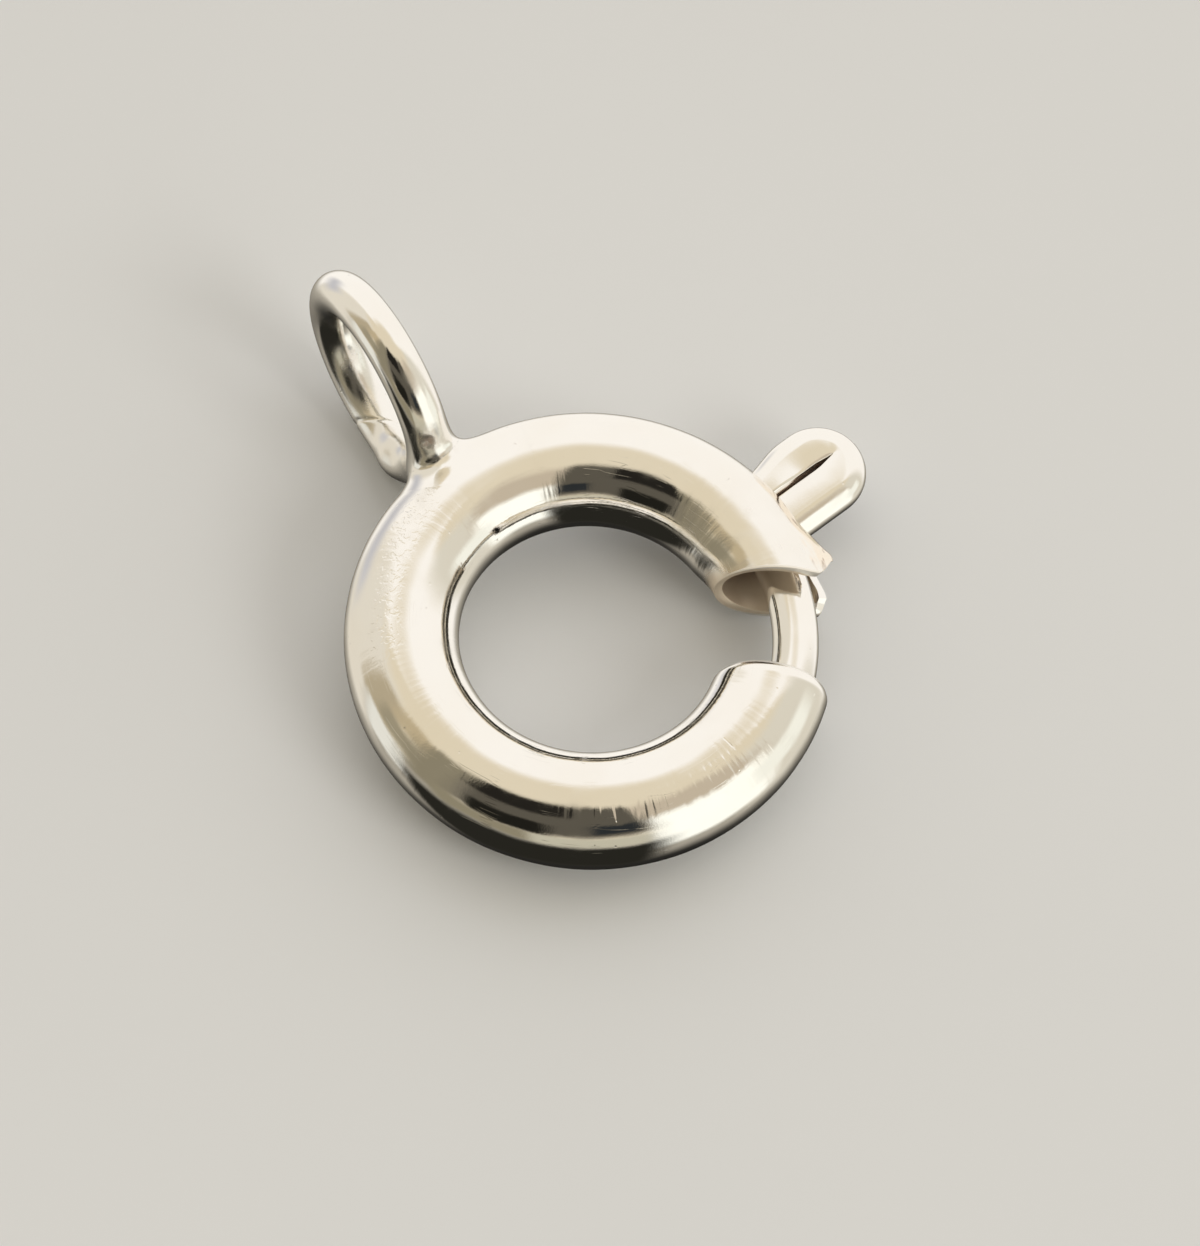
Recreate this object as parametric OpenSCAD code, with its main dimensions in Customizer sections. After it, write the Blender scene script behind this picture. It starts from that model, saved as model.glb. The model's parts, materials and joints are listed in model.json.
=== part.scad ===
// Spring ring clasp in its resting pose: a hollow tube ring with a soldered bail,
// a wire bolt with a folded thumb trigger, and the coil spring inside the tube.
// Millimetres, +Z up, +Y towards the bail, origin under the middle of the whole part.

/* [Ring tube] */
// Outside diameter of the ring
ring_od = 7; // [6.9:0.05:7.4]
// Diameter of the tube that the ring is bent from
tube_d = 1.64; // [1.62:0.01:1.72]
// Thickness of the tube's wall
tube_wall = 0.13; // [0.1:0.01:0.14]

/* [Gate] */
// Direction of the tube's end on the trigger side, seen from above
upper_end = -21.5; // [-23:0.5:-20]
// Turn of that end's cut away from square
upper_skew = -16; // [-18:1:-8]
// Direction of the tube's other end
lower_end = -52; // [-54:0.5:-50]
// Turn of the other end's cut away from square
lower_skew = 4; // [0:1:6]

/* [Bolt] */
// Diameter of the bolt's wire
wire_d = 0.66; // [0.6:0.01:0.66]
// Radius of the arc that the bolt runs on, around the ring's axis
bolt_r = 2.93; // [2.91:0.01:2.96]
// Direction of the bolt's very tip when the gate is shut
bolt_tip = -61; // [-63:0.5:-59]
// Direction in which the trigger stands
trigger_dir = 1.5; // [0:0.5:3]
// Distance from the ring's axis to the trigger's tip
trigger_reach = 4.96; // [4.8:0.02:5.2]
// Width of the open fold between the trigger's two strands
trigger_slit = 0.14; // [0.08:0.02:0.16]
// Furthest turn of the bolt when the trigger is pulled
bolt_travel = 36; // [30:1:36]

/* [Bail] */
// Outside diameter of the bail
bail_od = 3.44; // [3.2:0.02:3.6]
// Diameter of the bail's wire
bail_wire_d = 0.66; // [0.6:0.02:0.7]
// Distance from the ring's axis to the bail's centre
bail_reach = 5; // [4.9:0.02:5.05]
// Height of the bail's centre over the ring's middle plane
bail_lift = 0.28; // [0.2:0.02:0.32]
// Turn of the bail's plane away from the ring's radius
bail_turn = -6; // [-8:1:-4]

/* [Spring] */
// Diameter of the spring's wire
spring_wire_d = 0.14; // [0.12:0.01:0.14]
// Outside diameter of the spring
spring_od = 1.2; // [1.18:0.01:1.22]
// Number of turns
spring_turns = 21; // [16:1:24]
// Direction of the stop that the spring's far end bears on
spring_stop = 160; // [150:5:170]

/* [Hidden] */
$fn = 40;

// Ring tube
tube_r = tube_d / 2;
bore_r = tube_r - tube_wall;
ring_r = ring_od / 2 - tube_r;
stop_web = 4;

// Gate: where each end's cut plane crosses the tube
cut_in = -1.3;
cut_out = 1.6;
upper_cut = upper_end + upper_skew;
lower_cut = lower_end + lower_skew;

// Bolt and trigger: the folded strands are a hair thinner than the bolt, its round nose a hair thicker
wire_r = wire_d / 2;
nose_swell = 0.015;
nose_r = wire_r + nose_swell;
heel = 4;
strand_thinning = 0.01;
strand_r = wire_r - strand_thinning;
strand = strand_r + trigger_slit / 2;
fold_reach = trigger_reach - strand - strand_r;
nose_dir = bolt_tip + asin(nose_r / bolt_r);
front_dir = trigger_dir - asin(strand / bolt_r);
rear_dir = trigger_dir + asin(strand / ring_r);
tail_turn = 28;
tail_dir = rear_dir + tail_turn;

// Slot that the trigger stands in and slides along
slot_clear = 0.05;
slot_half = wire_r + slot_clear;
slot_depth = 0.2;
slot_floor = ring_r + slot_depth;
slot_room = 2.5;
slot_lead = 12;
slot_start = upper_end - slot_lead;
trigger_half = asin((strand + strand_r) / (ring_r + tube_r));
slot_end = trigger_dir + bolt_travel + trigger_half + slot_room;

// Bail and the solder at its foot
bail_wire_r = bail_wire_d / 2;
bail_r = bail_od / 2 - bail_wire_r;
bail_dir = 90 + bail_turn;
solder_r = 0.38;
solder_flare = 0.36;
solder_root = 0.3;
solder_height = 0.42;
solder_start = ring_r + solder_root;
solder_end = ring_r + tube_r + solder_height;
solder_lift = 0.12;
solder_steps = 5;

// Spring, swept along the tube's middle
coil_r = (spring_od - spring_wire_d) / 2;
coil_gap = 1.5;
coil_start = trigger_dir + asin((strand + strand_r) / ring_r) + coil_gap;
coil_end = spring_stop - coil_gap;
coil_steps = 12;
coil_sides = 6;

// Resting pose: the bail's underside and the ring's far rim touch the floor
lean_rise = bail_r + bail_wire_r - tube_r;
lean_span = sqrt(pow(ring_r + bail_reach, 2) + pow(bail_lift, 2));
lean = asin(lean_rise / lean_span) - atan(bail_lift / (ring_r + bail_reach));
rest_z = ring_r * sin(lean) + tube_r;
reach_right = fold_reach * cos(trigger_dir) + strand + strand_r;
reach_left = ring_r + tube_r;
reach_back = bail_reach * cos(lean) - bail_lift * sin(lean) + bail_r * cos(bail_turn) + bail_wire_r;
reach_front = ring_r * cos(lean) + tube_r;
rest_x = (reach_left - reach_right) / 2;
rest_y = (reach_front - reach_back) / 2;

// A point on the ground plan, given by its direction and distance
function polar(dir, dist) = [dist * cos(dir), dist * sin(dir)];

// Lays the ring, drawn flat around its own axis, into the resting pose
module at_rest() {
    translate([rest_x, rest_y, rest_z])
        rotate([lean, 0, 0])
            children();
}

// A round bar bent around the Z axis from one direction to another
module bent_bar(path_r, bar_r, from, to) {
    rotate([0, 0, from])
        rotate_extrude(angle = to - from)
            translate([path_r, 0])
                circle(r = bar_r);
}

// A straight round bar along X
module straight_bar(bar_r, from, to) {
    translate([from, 0, 0])
        rotate([0, 90, 0])
            cylinder(r = bar_r, h = to - from);
}

// A whole torus around the Z axis
module torus(path_r, bar_r) {
    rotate_extrude()
        translate([path_r, 0])
            circle(r = bar_r);
}

// The wedge cut out of the tube between its two ends
module gate_cut() {
    upper = polar(upper_end, ring_r);
    lower = polar(lower_end, ring_r);
    translate([0, 0, -2 * tube_r])
        linear_extrude(4 * tube_r)
            polygon([
                upper + polar(upper_cut, cut_in),
                upper + polar(upper_cut, cut_out),
                lower + polar(lower_cut, cut_out),
                lower + polar(lower_cut, cut_in)
            ]);
}

// The slot in the tube's outer side, open at the gate
module trigger_slot() {
    rotate([0, 0, slot_start])
        rotate_extrude(angle = slot_end - slot_start)
            translate([slot_floor, -slot_half])
                square([2 * tube_r, 2 * slot_half]);
}

// The bail: a closed wire ring standing across the tube
module bail_ring() {
    translate([0, bail_reach, bail_lift])
        rotate([90, 0, bail_dir])
            torus(bail_r, bail_wire_r);
}

// The solder that blends the bail's foot into the tube
module solder_collar() {
    reach = solder_end - solder_start;
    foot_x = bail_reach / tan(bail_dir);
    translate([-foot_x, 0, solder_lift])
        rotate([0, 0, bail_dir])
            translate([solder_start, 0, 0])
                rotate([0, 90, 0])
                    rotate_extrude()
                        polygon(concat([[0, 0]], [
                            for (i = [0 : solder_steps])
                                let (turn = 90 * i / solder_steps)
                                    [solder_r + solder_flare * (1 - sin(turn)), reach * (1 - cos(turn))]
                        ], [[0, reach]]));
}

// The web inside the tube that the spring bears on
module stop_wall() {
    bent_bar(ring_r, bore_r + tube_wall / 2, spring_stop, spring_stop + stop_web);
}

module ring_body() {
    color([0.86, 0.84, 0.8])
        at_rest() {
            difference() {
                union() {
                    torus(ring_r, tube_r);
                    bail_ring();
                    solder_collar();
                }
                torus(ring_r, bore_r);
                gate_cut();
                trigger_slot();
            }
            stop_wall();
        }
}

// The trigger: the wire folded out along X through the slot and back
module trigger() {
    for (side = [-1, 1])
        translate([0, side * strand, 0])
            straight_bar(strand_r, sqrt(pow(side < 0 ? bolt_r : ring_r, 2) - pow(strand, 2)), fold_reach);
    translate([fold_reach, 0, 0])
        bent_bar(strand, strand_r, -90, 90);
}

module lever() {
    color([0.9, 0.88, 0.84])
        at_rest() {
            rotate([0, 0, nose_dir])
                translate([bolt_r, 0, 0])
                    sphere(r = nose_r);
            bent_bar(bolt_r, wire_r, nose_dir, front_dir + heel);
            rotate([0, 0, trigger_dir])
                trigger();
            bent_bar(ring_r, wire_r, rear_dir - heel, tail_dir);
        }
}

// Middle of the spring's wire, a share of the way from its first end
function coil_turn(share) = 360 * spring_turns * share;
function coil_dir(share) = coil_start + (coil_end - coil_start) * share;
function coil_out(share) = let (dir = coil_dir(share), turn = coil_turn(share))
    [cos(turn) * cos(dir), cos(turn) * sin(dir), sin(turn)];
function coil_point(share) = let (dir = coil_dir(share))
    ring_r * [cos(dir), sin(dir), 0] + coil_r * coil_out(share);

// Side direction of the wire's section: square to the way the wire runs
function coil_side(share) =
    let (
        step = 0.0001,
        along = coil_point(share + step) - coil_point(share - step),
        across = cross(along, coil_out(share))
    )
        across / norm(across);

module spring() {
    steps = coil_steps * spring_turns;
    rings = [
        for (i = [0 : steps])
            for (j = [0 : coil_sides - 1])
                let (share = i / steps, turn = 360 * j / coil_sides)
                    coil_point(share)
                        + spring_wire_d / 2 * (cos(turn) * coil_out(share) + sin(turn) * coil_side(share))
    ];
    walls = [
        for (i = [0 : steps - 1])
            for (j = [0 : coil_sides - 1])
                let (k = (j + 1) % coil_sides)
                    [
                        i * coil_sides + j,
                        i * coil_sides + k,
                        (i + 1) * coil_sides + k,
                        (i + 1) * coil_sides + j
                    ]
    ];
    first_cap = [for (j = [coil_sides - 1 : -1 : 0]) j];
    last_cap = [for (j = [0 : coil_sides - 1]) steps * coil_sides + j];
    color([0.62, 0.62, 0.64])
        at_rest()
            polyhedron(points = rings, faces = concat(walls, [first_cap, last_cap]));
}

ring_body();
lever();
spring();
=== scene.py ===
"""Finished look of a silver spring ring clasp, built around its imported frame.

Every piece is made in the ring's own frame, in millimetres: the ring's axis is Z, its centre is the
origin and the bail stands towards +Y. The finished mesh is then laid into the resting pose in metres.
"""

import json
import logging
import math
from collections.abc import Iterable, Mapping, Sequence
from dataclasses import dataclass, field
from enum import Enum
from typing import Any

import bmesh
import bpy
import numpy as np
from mathutils import Matrix, Vector, noise


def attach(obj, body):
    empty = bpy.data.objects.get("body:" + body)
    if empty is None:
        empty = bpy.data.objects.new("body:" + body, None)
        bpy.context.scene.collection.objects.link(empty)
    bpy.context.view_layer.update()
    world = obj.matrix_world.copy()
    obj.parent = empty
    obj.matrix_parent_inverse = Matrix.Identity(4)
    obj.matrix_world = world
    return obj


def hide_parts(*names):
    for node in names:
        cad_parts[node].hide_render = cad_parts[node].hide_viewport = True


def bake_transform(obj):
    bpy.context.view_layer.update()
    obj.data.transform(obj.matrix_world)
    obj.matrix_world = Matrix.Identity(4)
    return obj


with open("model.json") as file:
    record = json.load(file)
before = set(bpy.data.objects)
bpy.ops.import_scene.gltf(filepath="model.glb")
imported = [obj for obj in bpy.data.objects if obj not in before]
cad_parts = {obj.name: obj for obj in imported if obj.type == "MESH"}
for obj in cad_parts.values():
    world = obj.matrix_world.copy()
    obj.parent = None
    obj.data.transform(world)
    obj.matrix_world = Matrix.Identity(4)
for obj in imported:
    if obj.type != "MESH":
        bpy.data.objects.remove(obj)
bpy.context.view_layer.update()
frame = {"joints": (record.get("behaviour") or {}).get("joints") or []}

MM = 0.001
ORIGIN = (0.0, 0.0, 0.0)
RING_AXIS = (0.0, 0.0, 1.0)
NUDGE = 1e-4
TINY = 1e-6
ARC_RADIUS = 3.0
log = logging.getLogger("clasp")

Colour = tuple[float, float, float]
Place = tuple[float, float, float]


class Slot(Enum):
    """The record's material slots."""

    TUBE = "silver_tube"
    WIRE = "silver_wire"
    SPRING = "spring_steel"


class Body(Enum):
    """The bodies that pieces ride on."""

    RING = "ring_body"
    LEVER = "lever"


def polar(degrees: float, distance: float, height: float = 0.0) -> Vector:
    """Gives a point by its direction from +X and its distance from the ring's axis."""
    turn = math.radians(degrees)
    return Vector((distance * math.cos(turn), distance * math.sin(turn), height))


def spot(degrees: float, distance: float, height: float = 0.0) -> Any:
    """Declares a field that holds such a point."""
    return field(default_factory=lambda: polar(degrees, distance, height))


def turned(degrees: float, axis: str = "Z") -> Matrix:
    """Gives a turn about an axis."""
    return Matrix.Rotation(math.radians(degrees), 3, axis)


def fade(share: float) -> float:
    """Falls smoothly from 1 at a share of 0 to 0 at a share of 1 and beyond."""
    left = 1.0 - min(max(share, 0.0), 1.0)
    return left * left * (3.0 - 2.0 * left)


def ease(values: np.ndarray, low: float, high: float) -> np.ndarray:
    """Rises smoothly from 0 at low to 1 at high, for many values at once."""
    share = np.clip((values - low) / (high - low), 0.0, 1.0)
    return share * share * (3.0 - 2.0 * share)


def bump_of(distance: float, reach: float) -> float:
    """Gives a round bump: 1 at no distance and 0 past its reach."""
    return fade(abs(distance) / reach)


def verts_of(geom: Iterable[Any]) -> list[bmesh.types.BMVert]:
    """Picks the points out of a selection."""
    return [item for item in geom if isinstance(item, bmesh.types.BMVert)]


def edges_of(geom: Iterable[Any]) -> list[bmesh.types.BMEdge]:
    """Picks the edges out of a selection."""
    return [item for item in geom if isinstance(item, bmesh.types.BMEdge)]


def section(
    bm: bmesh.types.BMesh,
    sides: int,
    radius: float,
    direction: float,
    distance: float,
    filled: bool = False,
) -> list[bmesh.types.BMVert]:
    """Draws a round section square to the ring.

    Args:
        bm: The mesh that it is drawn in.
        sides: Points round the section.
        radius: Its radius.
        direction: Direction in which it stands, in degrees.
        distance: Distance of its middle from the ring's axis.
        filled: Whether it gets a face.

    Returns:
        Its points.
    """
    verts = bmesh.ops.create_circle(bm, cap_ends=filled, segments=sides, radius=radius)["verts"]
    bmesh.ops.rotate(bm, verts=verts, cent=ORIGIN, matrix=turned(90.0, "X"))
    bmesh.ops.translate(bm, verts=verts, vec=(distance, 0.0, 0.0))
    bmesh.ops.rotate(bm, verts=verts, cent=ORIGIN, matrix=turned(direction))
    return verts


def spun(
    bm: bmesh.types.BMesh,
    geom: list[Any],
    centre: Vector,
    degrees: float,
    steps: int,
    axis: Sequence[float] = RING_AXIS,
) -> list[Any]:
    """Spins a section round an axis; a full turn closes on itself.

    Args:
        bm: The mesh that it is part of.
        geom: The section's points, edges and faces.
        centre: A point on the axis.
        degrees: How far it is spun.
        steps: Number of steps.
        axis: Direction of the axis.

    Returns:
        The last section.
    """
    return bmesh.ops.spin(
        bm, geom=geom, cent=centre, axis=axis, dvec=ORIGIN, angle=math.radians(degrees), steps=steps,
        use_merge=degrees == 360.0, use_duplicate=False,
    )["geom_last"]


@dataclass(frozen=True)
class RestingPose:
    """How the ring's frame lies in the row frame.

    Attributes:
        centre: The ring's centre in metres.
        lean: Turn about X from the ring's frame to the row frame, in radians.
    """

    centre: Vector
    lean: float

    @classmethod
    def from_joint(cls, joint: Mapping[str, Any]) -> "RestingPose":
        """Reads the pose from the record's joint of the bolt, whose axis is the ring's own."""
        axis = joint["axis"]
        return cls(Vector(joint["pos_m"]), math.atan2(-axis[1], axis[2]))

    @property
    def turn(self) -> Matrix:
        """The turn alone, from the ring's frame to the row frame."""
        return Matrix.Rotation(self.lean, 4, "X")

    @property
    def matrix(self) -> Matrix:
        """From ring millimetres to row metres."""
        return Matrix.Translation(self.centre) @ self.turn @ Matrix.Scale(MM, 4)


@dataclass(frozen=True)
class Workbench:
    """Turns finished meshes into pieces on their bodies.

    Attributes:
        pose: Where the ring's frame lies.
    """

    pose: RestingPose

    def piece(
        self,
        bm: bmesh.types.BMesh,
        name: str,
        body: Body | None,
        slot: Slot,
        replaced: str,
        material: bpy.types.Material,
    ) -> bpy.types.Object:
        """Makes a piece from a mesh in ring millimetres.

        Args:
            bm: The mesh, which is freed.
            name: The piece's name.
            body: The body that it rides on, or None.
            slot: The record's material slot; not used.
            replaced: The CAD node that it stands for.
            material: Its finish.

        Returns:
            The new object, at the origin with its place in its mesh.
        """
        bm.transform(self.pose.matrix)
        for face in bm.faces:
            face.smooth = True
        made = mesh_object(bm, name, material)
        if body is not None:
            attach(made, body.value)
        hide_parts(replaced)
        log.info("%s: %d faces", name, len(made.data.polygons))
        return made


def mesh_object(bm: bmesh.types.BMesh, name: str, material: bpy.types.Material) -> bpy.types.Object:
    """Puts a mesh, which is freed, into the scene with its material.

    Args:
        bm: The mesh, which is freed.
        name: The object's name.
        material: Its finish.

    Returns:
        The new object.
    """
    mesh = bpy.data.meshes.new(name)
    bm.to_mesh(mesh)
    bm.free()
    mesh.materials.append(material)
    made = bpy.data.objects.new(name, mesh)
    bpy.context.scene.collection.objects.link(made)
    return made


class Signal:
    """A shader socket that Python's operators work on, with a Math node for each."""

    def __init__(self, bench: "NodeBench", socket: bpy.types.NodeSocket) -> None:
        """Wraps a socket of the bench's tree."""
        self.bench = bench
        self.socket = socket

    def math(self, operation: str, *values: "Signal | float") -> "Signal":
        """Adds one Math node with its inputs in order."""
        return self.bench.signal("ShaderNodeMath", {"operation": operation}, dict(enumerate(values)))

    def __add__(self, other: "Signal | float") -> "Signal":
        """Adds."""
        return self.math("ADD", self, other)

    def __radd__(self, other: float) -> "Signal":
        """Adds to a number."""
        return self.math("ADD", other, self)

    def __sub__(self, other: "Signal | float") -> "Signal":
        """Subtracts."""
        return self.math("SUBTRACT", self, other)

    def __rsub__(self, other: float) -> "Signal":
        """Subtracts from a number."""
        return self.math("SUBTRACT", other, self)

    def __mul__(self, other: "Signal | float") -> "Signal":
        """Multiplies."""
        return self.math("MULTIPLY", self, other)

    def __rmul__(self, other: float) -> "Signal":
        """Multiplies a number."""
        return self.math("MULTIPLY", other, self)

    def __pow__(self, other: float) -> "Signal":
        """Raises to a power."""
        return self.math("POWER", self, other)

    def __abs__(self) -> "Signal":
        """Drops the sign."""
        return self.math("ABSOLUTE", self)

    def least(self, other: "Signal | float") -> "Signal":
        """Takes the smaller of two."""
        return self.math("MINIMUM", self, other)

    def most(self, other: "Signal | float") -> "Signal":
        """Takes the larger of two."""
        return self.math("MAXIMUM", self, other)

    def rise(self, low: float, high: float) -> "Signal":
        """Rises smoothly from 0 at low to 1 at high; it falls where low is above high.

        Args:
            low: The value at which it is 0.
            high: The value at which it is 1.

        Returns:
            A number from 0 to 1.
        """
        falls = low > high
        sockets = {"Value": self, "From Min": min(low, high), "From Max": max(low, high),
                   "To Min": float(falls), "To Max": float(not falls)}
        return self.bench.signal("ShaderNodeMapRange", {"interpolation_type": "SMOOTHSTEP"}, sockets)

    def line(self, centre: float, half: float) -> "Signal":
        """Marks a thin line: 1 where the value is at the centre, 0 from half a width off."""
        return abs(self - centre).rise(half, 0.0)


class NodeBench:
    """A node tree, filled through one method."""

    def __init__(self, tree: bpy.types.NodeTree) -> None:
        """Takes a tree and empties it."""
        self.tree = tree
        tree.nodes.clear()

    def node(
        self,
        kind: str,
        settings: Mapping[str, Any] | None = None,
        sockets: Mapping[str | int, Any] | None = None,
    ) -> bpy.types.Node:
        """Adds a node.

        Args:
            kind: The node's type.
            settings: Its properties, set first.
            sockets: Values or signals for its inputs, by name or place.

        Returns:
            The new node.
        """
        made = self.tree.nodes.new(kind)
        for name, value in (settings or {}).items():
            setattr(made, name, value)
        for key, value in (sockets or {}).items():
            if isinstance(value, Signal):
                self.tree.links.new(value.socket, made.inputs[key])
            else:
                made.inputs[key].default_value = value
        return made

    def signal(
        self,
        kind: str,
        settings: Mapping[str, Any] | None = None,
        sockets: Mapping[str | int, Any] | None = None,
        output: str | int = 0,
    ) -> Signal:
        """Adds a node and gives one of its outputs."""
        return Signal(self, self.node(kind, settings, sockets).outputs[output])

    def split(self, vector: Signal) -> list[Signal]:
        """Splits a vector into its three numbers."""
        parts = self.node("ShaderNodeSeparateXYZ", {}, {0: vector})
        return [Signal(self, socket) for socket in parts.outputs]

    def joined(self, x: Signal | float, y: Signal | float, z: Signal | float) -> Signal:
        """Joins three numbers into a vector."""
        return self.signal("ShaderNodeCombineXYZ", {}, {0: x, 1: y, 2: z})

    def vector(self, operation: str, first: Signal, second: Sequence[float], output: str | int) -> Signal:
        """Adds one Vector Math node on a signal and a fixed vector."""
        sockets = {0: first, 1: tuple(second)}
        return self.signal("ShaderNodeVectorMath", {"operation": operation}, sockets, output)

    def mix(self, share: Signal | float, first: Signal | Colour, second: Signal | Colour) -> Signal:
        """Mixes two colours: the first shows at a share of 0 and the second at 1."""
        a, b = (item if isinstance(item, Signal) else (*item, 1.0) for item in (first, second))
        return self.signal("ShaderNodeMix", {"data_type": "RGBA"}, {0: share, 6: a, 7: b}, 2)

    def noise(self, where: Signal, scale: float, detail: float = 2.0, roughness: float = 0.5) -> Signal:
        """Gives a noise from 0 to 1, with its scale per unit of the point."""
        sockets = {"Vector": where, "Scale": scale, "Detail": detail, "Roughness": roughness}
        return self.signal("ShaderNodeTexNoise", {"noise_dimensions": "3D"}, sockets)

    def cells(self, where: Signal, scale: float) -> Signal:
        """Gives the distance to the nearest of many scattered points, as a share of their spacing."""
        sockets = {"Vector": where, "Scale": scale, "Randomness": 1.0}
        return self.signal("ShaderNodeTexVoronoi", {"feature": "F1"}, sockets, "Distance")

    def bumped(self, height: Signal) -> Signal:
        """Turns a height in mm into a normal."""
        return self.signal("ShaderNodeBump", {}, {"Strength": 1.0, "Distance": MM, "Height": height})

    def surface(self, sockets: Mapping[str, Any]) -> None:
        """Ends a material's tree with its shader."""
        shader = self.signal("ShaderNodeBsdfPrincipled", {}, sockets)
        self.node("ShaderNodeOutputMaterial", {}, {"Surface": shader})


class RingSpace(NodeBench):
    """The tree of a piece's material, which knows places on the piece in ring millimetres."""

    def __init__(self, tree: bpy.types.NodeTree, pose: RestingPose) -> None:
        """Undoes the resting pose in which the piece lies.

        Args:
            tree: The material's tree.
            pose: The pose in which the piece lies.
        """
        super().__init__(tree)
        shift = -(pose.turn.inverted().to_3x3() @ pose.centre) / MM
        self.point = self.signal(
            "ShaderNodeMapping",
            {"vector_type": "POINT"},
            {
                "Vector": self.signal("ShaderNodeTexCoord", output="Object"),
                "Location": tuple(shift),
                "Rotation": (-pose.lean, 0.0, 0.0),
                "Scale": (1 / MM, 1 / MM, 1 / MM),
            },
        )
        self.x, self.y, self.z = self.split(self.point)
        self.distance = (self.x * self.x + self.y * self.y) ** 0.5
        self.direction = self.y.math("ARCTAN2", self.y, self.x) * math.degrees(1.0)

    def beyond(self, place: Sequence[float], way: Vector) -> Signal:
        """Gives how far a point lies beyond a plane through a place, in mm."""
        gap = self.vector("SUBTRACT", self.point, place, "Vector")
        return self.vector("DOT_PRODUCT", gap, way, "Value")

    def near(self, place: Sequence[float], reach: float) -> Signal:
        """Marks a round spot: 1 at its middle, 0 from its reach outwards."""
        return self.vector("DISTANCE", self.point, place, "Value").rise(reach, 0.0)

    def clouds(self, scale: float, detail: float = 2.0, roughness: float = 0.5) -> Signal:
        """Gives a noise from 0 to 1 over the piece, with its scale per mm."""
        return self.noise(self.point, scale, detail, roughness)


def node_material(name: str) -> bpy.types.Material:
    """Makes a material with a node tree.

    Args:
        name: The material's name.

    Returns:
        The material.
    """
    made = bpy.data.materials.new(name)
    made.use_nodes = True
    return made


@dataclass(frozen=True)
class Ramp:
    """A smooth rise from nothing to a share; it falls where low is above high.

    Attributes:
        low: The value at which it is 0.
        high: The value at which it is full.
        share: What it gives there.
    """

    low: float
    high: float
    share: float = 1.0

    def of(self, value: Signal) -> Signal:
        """Gives the ramp's height at a value."""
        risen = value.rise(self.low, self.high)
        return risen if self.share == 1.0 else risen * self.share


@dataclass(frozen=True)
class Patches:
    """Irregular patches on a piece, which a noise makes.

    Attributes:
        scale: The noise's scale per mm.
        detail: Its detail.
        edge: Ramp over the noise, from between the patches to where they are full.
        roughness: The noise's roughness.
    """

    scale: float
    detail: float
    edge: Ramp
    roughness: float = 0.5

    def on(self, space: RingSpace) -> Signal:
        """Marks the patches."""
        return self.edge.of(space.clouds(self.scale, self.detail, self.roughness))


@dataclass(frozen=True)
class Streaks:
    """Streaks that run round the ring, which a stretched noise makes.

    Attributes:
        stretch: How many times the noise is stretched.
        scale: Its scale per mm.
        detail: Its detail.
    """

    stretch: float
    scale: float
    detail: float

    def on(self, space: RingSpace) -> Signal:
        """Gives the noise, from 0 to 1."""
        along = space.direction * (math.radians(ARC_RADIUS) / self.stretch)
        return space.noise(space.joined(along, space.distance, space.z), self.scale, self.detail)


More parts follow.
